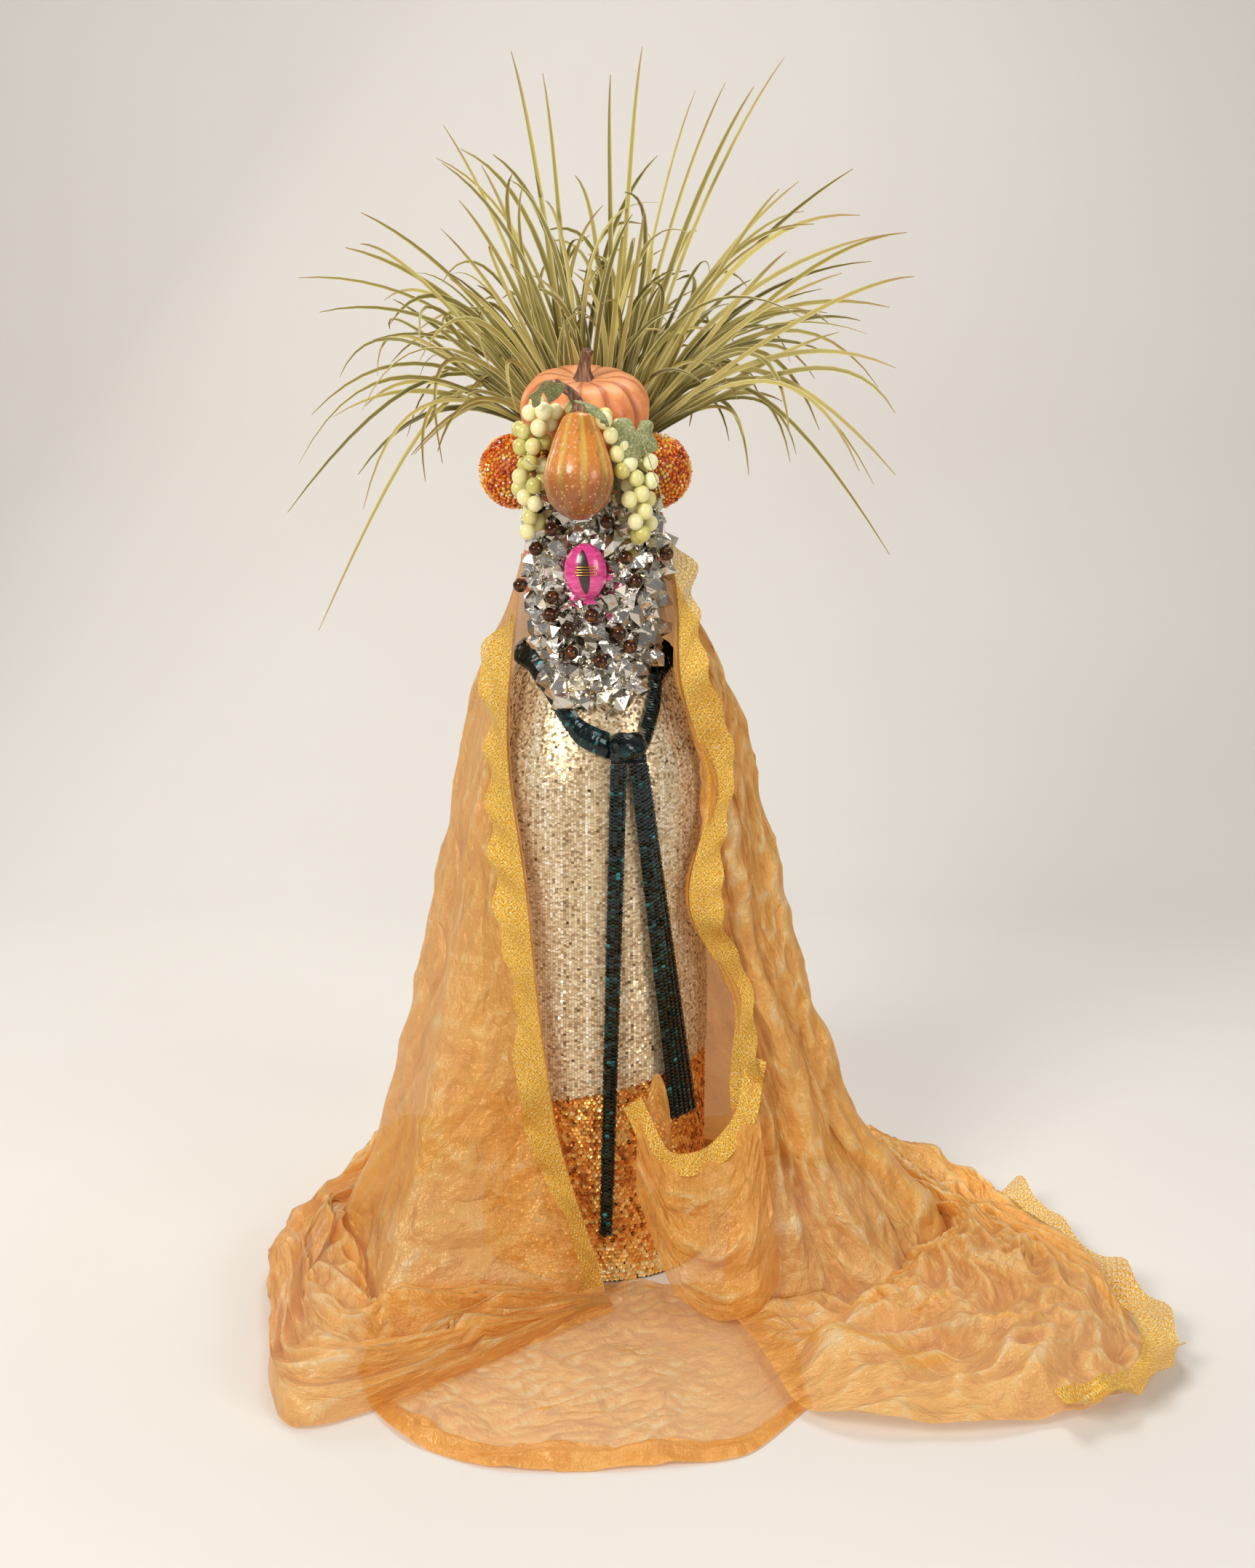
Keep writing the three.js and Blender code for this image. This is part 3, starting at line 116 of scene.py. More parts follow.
class Wire:
    """One value on its way to a shader. Arithmetic on it adds Math nodes."""

    def __init__(self, finish, socket):
        self.finish = finish
        self.socket = socket

    def math(self, operation, *others):
        values = dict(enumerate((self, *others)))
        return self.finish.node("ShaderNodeMath", {"operation": operation}, values)

    def __add__(self, other):
        return self.math("ADD", other)

    def __sub__(self, other):
        return self.math("SUBTRACT", other)

    def __rsub__(self, other):
        return self.finish.node("ShaderNodeMath", {"operation": "SUBTRACT"}, {0: other, 1: self})

    def __mul__(self, other):
        return self.math("MULTIPLY", other)

    __radd__ = __add__
    __rmul__ = __mul__

    def above(self, edge, soft=0.05):
        """0 below the edge and 1 above it, with a soft step."""
        return self.finish.node(
            "ShaderNodeMapRange", {"interpolation_type": "SMOOTHSTEP"},
            {0: self, 1: edge - soft, 2: edge + soft, 3: 0.0, 4: 1.0})


print("middle grey as a linear value: %.3f" % srgb("#808080")[0])

# %% [markdown]
# A finish starts from the Principled shader. What is the same all over is set on the shader's own sockets. What
# varies comes from short methods, one for each kind of node, so that a finish reads like a recipe.

# %% A finish
class Finish:
    """A material: constants go straight onto the shader, and what varies is wired in."""

    def __init__(self, name, **constants):
        self.material = bpy.data.materials.new(name)
        self.material.use_nodes = True
        self.tree = self.material.node_tree
        self.shader = self.tree.nodes["Principled BSDF"]
        for key, value in constants.items():
            self.shader.inputs[key.replace("_", " ").title().replace("Ior", "IOR")].default_value = value

    def node(self, kind, settings=None, inputs=None, out=0):
        """Any node: its settings come first, and then the values or links of its sockets."""
        made = self.tree.nodes.new(kind)
        for key, value in (settings or {}).items():
            if key == "stops":
                self.set_stops(made.color_ramp, value)
            else:
                setattr(made, key, value)
        for key, value in (inputs or {}).items():
            self.put(made.inputs[key], value)
        return Wire(self, made.outputs[out])

    def put(self, socket, value):
        """Sets a socket to a value, or links a wire to it."""
        if isinstance(value, Wire):
            self.tree.links.new(value.socket, socket)
        else:
            socket.default_value = value

    @staticmethod
    def set_stops(ramp, stops):
        while len(ramp.elements) < len(stops):
            ramp.elements.new(1.0)
        for element, (place, colour) in zip(ramp.elements, stops):
            element.position = place
            element.color = srgb(colour)

    def wire(self, **varying):
        """Feeds what varies over the surface to the shader."""
        for key, value in varying.items():
            self.put(self.shader.inputs[key.replace("_", " ").title()], value)

    def where(self):
        """A point of the object, in metres."""
        return self.node("ShaderNodeTexCoord", out=3)

    def cloth(self):
        """The cloth's own map, in metres along its weave."""
        return self.node("ShaderNodeUVMap", {"uv_map": "cloth"})

    def value(self, name):
        """A number that the piece carries on its points."""
        return self.node("ShaderNodeAttribute", {"attribute_name": name}, out=2)

    def stretch(self, vector, scale):
        return self.node("ShaderNodeMapping", None, {"Vector": vector, "Scale": scale})

    def shift(self, vector, by):
        return self.node("ShaderNodeVectorMath", {"operation": "ADD"}, {0: vector, 1: by})

    def noise(self, vector, scale, detail=3.0, rough=0.55):
        return self.node(
            "ShaderNodeTexNoise", None,
            {"Vector": vector, "Scale": scale, "Detail": detail, "Roughness": rough})

    def cells(self, vector, scale, feature="F1"):
        return self.node("ShaderNodeTexVoronoi", {"feature": feature}, {"Vector": vector, "Scale": scale})

    def facet(self, vector, scale):
        """One random number for each cell of a surface, for painted light on the flat sides of crushed cloth."""
        colour = self.node("ShaderNodeTexVoronoi", None, {"Vector": vector, "Scale": scale}, out=1)
        return self.node("ShaderNodeSeparateColor", None, {0: colour})

    def mix(self, share, a, b):
        colours = [srgb(c) if isinstance(c, str) else c for c in (a, b)]
        return self.node("ShaderNodeMix", {"data_type": "RGBA"}, {0: share, 6: colours[0], 7: colours[1]}, out=2)

    def ramp(self, share, *stops):
        return self.node("ShaderNodeValToRGB", {"stops": stops}, {0: share})

    def bump(self, height, depth, strength=1.0):
        return self.node(
            "ShaderNodeBump", None, {"Height": height, "Distance": depth, "Strength": strength})

    def let_through(self, colour, share):
        """Lets a share of the light from behind come through, tinted."""
        behind = self.node("ShaderNodeBsdfTranslucent", None, {"Color": srgb(colour)})
        both = self.node("ShaderNodeMixShader", None, {0: share, 1: Wire(self, self.shader.outputs[0]), 2: behind})
        self.put(self.tree.nodes["Material Output"].inputs["Surface"], both)


print("finish helper ready")

# %% [markdown]
# ## A stage
# The floor runs up into a curved backdrop, so no line crosses the picture behind the doll. A bent strip could be
# modelled by hand, but spinning one edge through a quarter turn gives the same sweep in one step.

# %% Floor and backdrop
FLOOR_HALF = 4.0
SWEEP_RADIUS = 0.8
SWEEP_START = 1.2
WALL_HEIGHT = 3

bm = bmesh.new()
row = [bm.verts.new((x, -FLOOR_HALF, 0)) for x in (-FLOOR_HALF, FLOOR_HALF)]
edge = bm.edges.new(row)
grown = bmesh.ops.extrude_edge_only(bm, edges=[edge])["geom"]
line = [g for g in grown if isinstance(g, bmesh.types.BMEdge)]
ends = [g for g in grown if isinstance(g, bmesh.types.BMVert)]
bmesh.ops.translate(bm, verts=ends, vec=(0, FLOOR_HALF + SWEEP_START, 0))
swept = bmesh.ops.spin(
    bm, geom=line + ends, cent=(0, SWEEP_START, SWEEP_RADIUS), axis=(1, 0, 0), angle=math.pi / 2, steps=24)
last = [g for g in swept["geom_last"] if isinstance(g, bmesh.types.BMEdge)]
top = [g for g in bmesh.ops.extrude_edge_only(bm, edges=last)["geom"] if isinstance(g, bmesh.types.BMVert)]
bmesh.ops.translate(bm, verts=top, vec=(0, 0, WALL_HEIGHT))
bmesh.ops.recalc_face_normals(bm, faces=bm.faces)
stage_mesh = bpy.data.meshes.new("studio_floor")
bm.to_mesh(stage_mesh)
bm.free()
studio_floor = bpy.data.objects.new("studio_floor", stage_mesh)
stage_mesh.shade_smooth()
paper = Finish("studio_paper", roughness=0.9)
paper.wire(base_color=paper.mix(paper.noise(paper.where(), 3.0), "#dedad4", "#e2dfda"))
stage_mesh.materials.append(paper.material)
scene.collection.objects.link(studio_floor)
print("backdrop faces:", len(stage_mesh.polygons))

# %% [markdown]
# ## Making pieces
# Each piece is shaped with mesh operators, takes a finish and rides on a body of the frame. Turned shapes are spun,
# cloth is a grid whose points are carried to where the cloth hangs, and stalks are rings drawn along a path. One
# function ends the work on every piece, so that none misses a step.

# %% Setting a piece on the doll
def keep(name, bm, finish, replaces=(), body="doll", smooth=True):
    """Closes the work on a mesh and sets it on the doll."""
    mesh = bm
    if isinstance(bm, bmesh.types.BMesh):
        mesh = bpy.data.meshes.new(name)
        bm.to_mesh(mesh)
        bm.free()
    mesh.name = name
    mesh.polygons.foreach_set("use_smooth", np.full(len(mesh.polygons), smooth))
    mesh.materials.append(finish.material)
    piece = bpy.data.objects.new(name, mesh)
    scene.collection.objects.link(piece)
    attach(piece, body)
    if replaces:
        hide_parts(*replaces)
    print(name, "faces:", len(mesh.polygons))
    return piece


print("pieces go into the collection", scene.collection.name)

# %% [markdown]
# Places on a column are easiest to give by an angle, a radius and a height. These sums work on whole arrays of points
# at once, which is much quicker than a loop over single points.

# %% Sums on points
def around(angle, radius, z):
    """Points at an angle from the face, in degrees, positive towards the doll's left hand."""
    turn = np.radians(angle)
    return np.stack(np.broadcast_arrays(radius * np.sin(turn), -radius * np.cos(turn), z), axis=-1)


def smoothstep(value, low, high):
    """0 below low and 1 above high, with a soft step between them."""
    share = np.clip((value - low) / (high - low), 0, 1)
    return share * share * (3 - 2 * share)


def unit(vectors):
    """Vectors brought to length 1."""
    return vectors / np.maximum(np.linalg.norm(vectors, axis=-1, keepdims=True), 1e-12)


def points_of(bm):
    return np.array([v.co[:] for v in bm.verts])


def move_points(bm, spots):
    for vert, spot in zip(bm.verts, spots):
        vert.co = spot


print("straight ahead of the doll:", around(0, 1.0, 0.0))

# %% [markdown]
# ## Sizes from the frame
# The dressed pieces have to sit where the solids are. Their sizes could be typed in again, but a change of the solids
# would then leave the dress behind, so the radii and heights are read from the solids' boxes.

# %% Sizes from the frame
def box(node):
    """The lowest and the highest corner of a solid."""
    low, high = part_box(node)
    return np.array(low), np.array(high)


def middle(node):
    low, high = box(node)
    return (low + high) / 2


GLUE_GAP = 0.0003
TUBE_RADIUS = box("body_tube")[1][0]
BASE_RADIUS = box("base_disc")[1][0]
BASE_TOP = box("base_disc")[1][2]
SHOULDER_FOOT = box("body_tube")[1][2] + GLUE_GAP
SHOULDER_TOP = box("shoulder_block")[1][2]
HEAD_FOOT, HEAD_TOP = box("head_form")[0][2], box("head_form")[1][2]
HEAD_RADIUS = box("head_form")[1][0]
SKIRT_TOP = box("copper_skirt")[1][2]
print("tube radius %.4f, shoulders %.4f to %.4f, head to %.4f" % (TUBE_RADIUS, SHOULDER_FOOT, SHOULDER_TOP, HEAD_TOP))

# %% [markdown]
# ## The hidden core
# The base, tube, plug, dowel and foam already have their right shapes as solids, so they keep them and only take a
# finish: turned wood, brown card and open-celled foam. Modelling them again would only risk a poor fit.

# %% Core finishes
wood = Finish("turned_wood", roughness=0.6)
grain = wood.noise(wood.stretch(wood.where(), (60, 9, 60)), 1.6, 6.0)
wood.wire(
    base_color=wood.ramp(grain, (0.3, "#8a6238"), (0.5, "#b08a58"), (0.7, "#c7a472")),
    roughness=0.5 + grain * 0.25, normal=wood.bump(grain, 0.0006))

card = Finish("brown_card", roughness=0.9)
fibre = card.noise(card.stretch(card.where(), (140, 140, 30)), 2.0, 5.0)
card.wire(base_color=card.mix(fibre, "#9c7c54", "#bda27a"), normal=card.bump(fibre, 0.0004))

foam = Finish("cut_foam", roughness=0.95)
cell = foam.cells(foam.where(), 420)
foam.wire(base_color=foam.mix(cell, "#4e4a2c", "#757048"), normal=foam.bump(cell, 0.0012))

CORE = {"base_disc": wood, "tube_plug": wood, "neck_dowel": wood, "ear_rod": wood, "body_tube": card,
        "shoulder_block": foam, "crown_block": foam}
for name, finish in CORE.items():
    nodes[name].data.materials.clear()
    nodes[name].data.materials.append(finish.material)
print("core pieces finished:", len(CORE))

# %% [markdown]
# ## Painted head form
# Under the face is a smooth bulb in coral paint, seen at the cheeks. A ball could be stretched into it, but its foot
# and top are flat where the dowel goes through, so its profile is spun round the doll's axis.

# %% Head form
HEAD_FOOT_RADIUS, HEAD_TOP_RADIUS = 0.048, 0.040


def head_radius(share):
    """The radius of the head at a share of its height."""
    plain = HEAD_FOOT_RADIUS + (HEAD_TOP_RADIUS - HEAD_FOOT_RADIUS) * share
    return plain + (HEAD_RADIUS - plain) * np.sin(np.pi * np.clip(share, 0, 1)) ** 0.7


def turned(profile, steps):
    """A wall of revolution about the doll's axis from (radius, height) pairs."""
    bm = bmesh.new()
    corners = [bm.verts.new((r, 0, z)) for r, z in profile]
    walls = [bm.edges.new(pair) for pair in zip(corners, corners[1:])]
    bmesh.ops.spin(
        bm, geom=corners + walls, cent=(0, 0, 0), axis=(0, 0, 1), angle=2 * math.pi, steps=steps, use_merge=True)
    bmesh.ops.remove_doubles(bm, verts=bm.verts, dist=1e-6)
    bmesh.ops.recalc_face_normals(bm, faces=bm.faces)
    return bm


coral = Finish("coral_paint", roughness=0.35, coat_weight=0.5, coat_roughness=0.15)
blotch = coral.noise(coral.where(), 38, 4.0)
coral.wire(
    base_color=coral.ramp(blotch, (0.3, "#a8401f"), (0.55, "#c9532c"), (0.75, "#db6a3a")),
    roughness=0.28 + blotch * 0.2, normal=coral.bump(coral.noise(coral.where(), 160), 0.0004))

DOWEL_HOLE = 0.0128
shares = np.linspace(0, 1, 33)
profile = [(DOWEL_HOLE, HEAD_FOOT)]
profile += [(head_radius(s), HEAD_FOOT + s * (HEAD_TOP - HEAD_FOOT)) for s in shares]
profile += [(DOWEL_HOLE, HEAD_TOP)]
keep("painted_head", turned(profile, 64), coral, ["head_form"])

# %% [markdown]
# ## Copper skirt
# The underskirt is a tube of knit covered with cupped copper sequins. The knit comes first. It could be a cylinder,
# but it widens over the base, so its profile is spun as the head's was.

# %% Skirt knit
CLOTH = 0.0026
FLARE = 0.07
KNIT_INSET = 0.0008


def skirt_radius(z):
    """The outside of the skirt, which widens to the base."""
    return TUBE_RADIUS + (BASE_RADIUS - TUBE_RADIUS) * (1 - smoothstep(z, BASE_TOP, BASE_TOP + FLARE)) + CLOTH


knit_brown = Finish("skirt_knit", roughness=0.9)
knit_brown.wire(base_color=knit_brown.mix(knit_brown.noise(knit_brown.where(), 300), "#2e1508", "#5a2c10"))
heights = np.linspace(0.001, SKIRT_TOP, 30)
skirt = keep("skirt_cloth", turned([(skirt_radius(z) - KNIT_INSET, z) for z in heights], 96), knit_brown,
             ["copper_skirt"])

# %% [markdown]
# ## Thousands of one thing
# Sequins, beads and blades come by the thousand. Calling an operator for each copy slows down as the mesh grows, so
# one template is made with an operator and its points are laid out for all copies at once. Each copy carries a number
# named shade, which its finish reads to make no two alike.

# %% Copies of a template
def many(template, spots, **values):
    """One mesh of many copies: spots holds each copy's points, and values give numbers per copy or per point."""
    copies, points, _ = spots.shape
    template.verts.index_update()
    faces = np.array([[v.index for v in f.verts] for f in template.faces])
    template.free()
    mesh = bpy.data.meshes.new("copies")
    shifted = faces[None] + (np.arange(copies) * points)[:, None, None]
    mesh.from_pydata(spots.reshape(-1, 3), [], shifted.reshape(-1, faces.shape[1]))
    for name, numbers in values.items():
        numbers = np.broadcast_to(np.asarray(numbers).reshape(copies, -1), (copies, points))
        layer = mesh.attributes.new(name, "FLOAT", "POINT")
        layer.data.foreach_set("value", numbers.ravel())
    return mesh


def placed(template, centres, normals, up, tilt, spin, scale=1.0):
    """The points of copies that lie on a surface: tilted about its level line and spun about their own normal."""
    flat = points_of(template)
    normals = unit(normals)
    level = unit(np.cross(up, normals))
    rise = np.cross(normals, level)
    tilt, spin = np.broadcast_to(tilt, len(centres))[:, None], np.broadcast_to(spin, len(centres))[:, None]
    face = normals * np.cos(tilt) + rise * np.sin(tilt)
    rise = np.cross(face, level)
    x_axis = level * np.cos(spin) + rise * np.sin(spin)
    y_axis = np.cross(face, x_axis)
    axes = np.stack([x_axis, y_axis, face], axis=1)
    size = np.broadcast_to(scale, len(centres))[:, None, None]
    return centres[:, None, :] + np.einsum("vk,nkd->nvd", flat, axes) * size


def spangle(radius, sides, cup=0.0):
    """A sequin: a small disc, or with a cup a fan of facets round a sunken middle."""
    disc = bmesh.new()
    bmesh.ops.create_circle(disc, cap_ends=True, cap_tris=cup > 0, segments=sides, radius=radius)
    for vert in disc.verts:
        if vert.co.length < radius * 0.5:
            vert.co.z = -cup
    return disc


FULL_TURN = 6.28
ROW_PACK = 0.86  # rows of a staggered pattern lie closer than its copies do
rng = np.random.default_rng(11)
print("copy helpers ready")

# %% [markdown]
# The copper cups are laid out in staggered rows, brighter gold near the floor. Small random tilts make some flash and
# leave others dark.

# %% Skirt sequins
SKIRT_PITCH = 0.0043
CUP_RADIUS, CUP_DEPTH = 0.0026, 0.0008

copper = Finish("copper_sequins", metallic=0.6, roughness=0.25)
shade = copper.value("shade")
copper.wire(
    base_color=copper.ramp(shade, (0.0, "#a2521e"), (0.3, "#e69640"), (0.6, "#fcc264"), (0.85, "#ffde8a"),
                           (1.0, "#fff0b4")),
    roughness=0.18 + shade * 0.22)

spots, tones = [], []
for row, z in enumerate(np.arange(0.004, SKIRT_TOP - 0.002, SKIRT_PITCH * ROW_PACK)):
    count = int(2 * np.pi * skirt_radius(z) / SKIRT_PITCH)
    angle = (np.arange(count) + 0.5 * (row % 2)) * 360 / count + rng.normal(0, 0.25, count)
    spots.append(around(angle, skirt_radius(z) + 0.0006, np.full(count, z)))
    gold = 0.45 * (1 - smoothstep(np.full(count, z), 0.0, 0.055))
    tones.append(np.clip(rng.beta(1.6, 2.6, count) + gold, 0, 1))
spots, tones = np.concatenate(spots), np.concatenate(tones)
outward = spots * (1, 1, 0)
cup = spangle(CUP_RADIUS, 6, cup=CUP_DEPTH)
cups = many(cup, placed(cup, spots, outward, (0, 0, 1), rng.normal(0.15, 0.28, len(spots)),
                        rng.uniform(0, FULL_TURN, len(spots))), shade=tones)
skirt_cups = keep("skirt_sequins", cups, copper, smooth=False)
2 * math.pi * float(skirt_radius(0.1))

# %% [markdown]
# ## Gown
# The gown is a sleeve over the tube and shoulders with a slanted hem. Its lowest ring could be moved point by point,
# but cutting a spun sleeve with a slanted plane gives a clean hem in one step.

# %% Gown knit
NECK_RADIUS = 0.056
HEM_HEIGHT = 0.182
HEM_TILT = math.radians(11)


def shoulder_radius(z):
    """The radius under the gown, which draws in over the shoulders to the neck."""
    share = np.clip((z - SHOULDER_FOOT) / (SHOULDER_TOP - SHOULDER_FOOT), 0, 1)
    return TUBE_RADIUS - (TUBE_RADIUS - NECK_RADIUS) * share ** 1.5


def gown_radius(z):
    """The outside of the gown, which swells a little where it lies over the skirt."""
    return shoulder_radius(z) + CLOTH + CLOTH * (1 - smoothstep(z, SKIRT_TOP, SKIRT_TOP + FLARE))


knit_beige = Finish("gown_knit", roughness=0.85)
rows_up = knit_beige.noise(knit_beige.stretch(knit_beige.where(), (1, 1, 0.2)), 420)
knit_beige.wire(base_color=knit_beige.mix(rows_up, "#a1845c", "#ccb084"), normal=knit_beige.bump(rows_up, 0.0005))
heights = np.linspace(HEM_HEIGHT - 0.04, SHOULDER_TOP, 60)
sleeve = turned([(gown_radius(z) - KNIT_INSET, z) for z in heights], 128)
hem_normal = (-math.sin(HEM_TILT), 0, math.cos(HEM_TILT))
bmesh.ops.bisect_plane(
    sleeve, geom=sleeve.verts[:] + sleeve.edges[:] + sleeve.faces[:], plane_co=(0, 0, HEM_HEIGHT),
    plane_no=hem_normal, clear_inner=True)
gown = keep("gown_cloth", sleeve, knit_beige, ["gown"])

# %% [markdown]
# Tiny pale sequins cover the gown in upright rows. A bump map could fake them, but real flakes catch the lamps one by
# one. They hang looser towards the hem, and a few are dark.

# %% Gown sequins
GOWN_PITCH = 0.0025
FLAKE_RADIUS = 0.0015
DARK_FLAKES = 0.035

champagne = Finish("champagne_sequins", metallic=0.4, roughness=0.3)
shade = champagne.value("shade")
champagne.wire(
    base_color=champagne.ramp(shade, (0.0, "#6b5238"), (0.2, "#a88b66"), (0.45, "#d4b88e"), (0.75, "#eedab4"),
                              (1.0, "#fff8e6")),
    roughness=0.2 + shade * 0.2)

count = int(2 * np.pi * gown_radius(0.3) / GOWN_PITCH)
angle, z = np.meshgrid(np.arange(count) * 360 / count, np.arange(0.145, SHOULDER_TOP - 0.001, GOWN_PITCH))
z = z + (np.arange(count) % 2)[None] * GOWN_PITCH / 2 + rng.normal(0, 0.0003, z.shape)
angle, z = angle.ravel(), z.ravel()
kept = rng.random(len(z)) < 1.02 * gown_radius(z) / gown_radius(0.3)
spots = around(angle, gown_radius(z) + 0.0003, z)
kept &= spots[:, 2] > HEM_HEIGHT + spots[:, 0] * math.tan(HEM_TILT) - 0.001
spots, z = spots[kept], z[kept]
slope = (gown_radius(z + 0.001) - gown_radius(z - 0.001)) / 0.002
outward = unit(spots * (1, 1, 0)) - slope[:, None] * np.array((0, 0, 1))
row_tone = rng.normal(0, 0.07, count)[np.round(angle[kept] * count / 360).astype(int) % count]
tones = np.clip(rng.beta(4.2, 3.0, len(spots)) + row_tone - 0.35 * (rng.random(len(spots)) < DARK_FLAKES), 0, 1)
flake = spangle(FLAKE_RADIUS, 6)
loose = 0.07 + 0.10 * (1 - smoothstep(z, 0.22, 0.48))
flakes = many(flake, placed(flake, spots, outward, (0, 0, 1), rng.normal(0.08, 1.0, len(spots)) * loose,
                            rng.normal(0, 0.3, len(spots))), shade=tones)
gown_flakes = keep("gown_sequins", flakes, champagne, smooth=False)
2 * math.pi * float(gown_radius(0.3))

# %% [markdown]
# ## Sash
# A dark green sequinned band goes round the neck, is knotted at the front and hangs in two tails. Each length is a
# cloth. A cloth simulation could drape it, but a grid whose points are carried to where the cloth hangs keeps the
# picture's own outline. Smooth curves through a few points say where that is.

# %% Cloth grids and curves
def draped(columns, rows, point, size=(1.0, 1.0)):
    """A cloth: a grid whose points go to point(u, v), with a map in metres of its flat size."""
    bm = bmesh.new()
    bmesh.ops.create_grid(bm, x_segments=columns, y_segments=rows, size=0.5)
    bm.verts.index_update()
    flat = points_of(bm)[:, :2] + 0.5
    move_points(bm, point(flat[:, 0], flat[:, 1]))
    cloth_map = bm.loops.layers.uv.new("cloth")
    scaled = flat * np.array(size)
    for face in bm.faces:
        for loop in face.loops:
            loop[cloth_map].uv = scaled[loop.vert.index]
    return bm


def through(points, share, tension=0.4):
    """A smooth curve through points, read at many shares of its way. Each share may have its own points."""
    points = np.asarray(points, float)
    if points.ndim == 2:
        points = np.repeat(points[:, None, :], len(share), axis=1)
    ends = np.concatenate([2 * points[:1] - points[1:2], points, 2 * points[-1:] - points[-2:-1]])
    place = np.clip(share, 0, 1) * (len(points) - 1)
    key = np.minimum(place.astype(int), len(points) - 2)
    s = (place - key)[:, None]
    before, a, b, after = (ends[key + k, np.arange(len(share))] for k in range(4))
    leave, arrive = tension * (b - before), tension * (after - a)
    return ((2 * s ** 3 - 3 * s ** 2 + 1) * a + (s ** 3 - 2 * s ** 2 + s) * leave
            + (3 * s ** 2 - 2 * s ** 3) * b + (s ** 3 - s ** 2) * arrive)


print("cloth helpers ready")

# %% [markdown]
# The collar rises from the knot to the back of the neck. The tails start under the knot, lie on the gown and stand
# off the skirt. Both have a rounded front, as a folded band does.

# %% Collar and tails
KNOT_TURN = 18.0
KNOT_HEIGHT = SHOULDER_FOOT + 0.0417
KNOT_HALF = 0.0173
HINGE_DROP = 0.0126
SASH_STAND_OFF = 0.0037
COLLAR_WIDTH = 0.021
COLLAR_BULGE, TAIL_BULGE = 0.003, 0.0025
collar_top = SHOULDER_TOP - 0.01155
knot_reach = math.degrees(KNOT_HALF / (gown_radius(KNOT_HEIGHT) + SASH_STAND_OFF))
# The collar's way round the neck: degrees from the knot, and a share of the way up to its top.
collar_line = [
    (knot_reach, 0.1), (22, 0.5), (34, 0.84), (75, 0.98), (160, 1), (250, 1), (292, 0.94), (314, 0.7), (335, 0.2),
    (360 - knot_reach, 0.04)]


def collar_point(u, v):
    """The collar: u goes round the neck from the knot, and v up across the band."""
    route = through(collar_line, u, 0.3)
    bulge = COLLAR_BULGE * (1 - (2 * v - 1) ** 2)
    wide = COLLAR_WIDTH * (1 - 0.3 * smoothstep(route[:, 1], 0.8, 1.0))
    z = KNOT_HEIGHT + (collar_top - KNOT_HEIGHT) * route[:, 1] + (v - 0.5) * wide
    ring = gown_radius(np.minimum(z, SHOULDER_TOP)) + SASH_STAND_OFF + bulge
    return around(KNOT_TURN + route[:, 0], ring, z)


def tail_point(turn, length, lean, top_width, end_width):
    """The way of a tail down from the knot: u goes across it, and v down its length."""
    top = KNOT_HEIGHT - HINGE_DROP
    start = around(KNOT_TURN + turn, gown_radius(top) + SASH_STAND_OFF + 0.001, top)

    def point(u, v):
        x = start[0] + lean * v + (u - 0.5) * (top_width + (end_width - top_width) * v)
        z = top - length * v
        ring = np.maximum(gown_radius(np.maximum(z, HEM_HEIGHT)) + SASH_STAND_OFF, skirt_radius(z) + 0.003)
        bulge = TAIL_BULGE * (1 - (2 * u - 1) ** 2)
        return np.stack([x, -np.sqrt(ring ** 2 - x * x) - 0.001 - 0.009 * v - bulge, z], axis=-1)

    return point


print("the collar rises from %.4f to %.4f" % (KNOT_HEIGHT, collar_top))

# %% [markdown]
# Strands of overlapping round scales follow the band, which is how sequin trim is sewn. Every other strand is half a
# step on. Scales side by side would read as ribs across the band.

# %% Sequin trim
SEQUIN_RADIUS = 0.0023
SEQUIN_LIFT = 0.0012

sash_knit = Finish("sash_knit", roughness=0.85)
sash_knit.wire(base_color=sash_knit.mix(sash_knit.noise(sash_knit.where(), 320), "#060a0a", "#101a19"))
green = Finish("green_sequins", metallic=0.35, roughness=0.2, coat_weight=0.4, coat_roughness=0.1)
shade = green.value("shade")
green.wire(
    base_color=green.ramp(shade, (0.0, "#04100f"), (0.55, "#0b2422"), (0.85, "#14504e"), (1.0, "#2f9aa0")),
    roughness=0.14 + shade * 0.14)


def scales(name, point, rows, steps, along_v, body):
    """Overlapping round sequins in strands along a band. Every other strand is half a step on."""
    across, along = np.meshgrid((np.arange(rows) + 0.5) / rows, (np.arange(steps) + 0.5) / steps)
    across = across.ravel()
    strand = np.tile(np.arange(rows) % 2, steps) * 0.5 / steps
    along = np.clip(along.ravel() + strand + rng.normal(0, 0.12 / steps, along.size), 0.001, 0.999)
    u, v = (across, along) if along_v else (along, across)
    spots = point(u, v)
    du = point(np.clip(u + 0.002, 0, 1), v) - point(np.clip(u - 0.002, 0, 1), v)
    dv = point(u, np.clip(v + 0.002, 0, 1)) - point(u, np.clip(v - 0.002, 0, 1))
    normals = unit(np.cross(du, dv))
    normals *= np.sign(np.sum(normals * spots * (1, 1, 0), axis=1))[:, None]
    tones = np.clip(rng.beta(1.5, 3.2, len(spots)) * 1.15, 0, 1)
    disc = spangle(SEQUIN_RADIUS, 8)
    made = many(disc, placed(disc, spots + normals * SEQUIN_LIFT, normals, -(dv if along_v else du),
                             rng.normal(-0.3, 0.1, len(spots)), rng.normal(0, 0.2, len(spots))), shade=tones)
    return keep(name, made, green, body=body, smooth=False)


print("radius of the sash sequins:", SEQUIN_RADIUS)

# %% [markdown]
# The collar stays on the doll, with two short stubs of band below the knot. The tails swing, so each rides on a body
# of its own, and its stub covers the place where it turns.

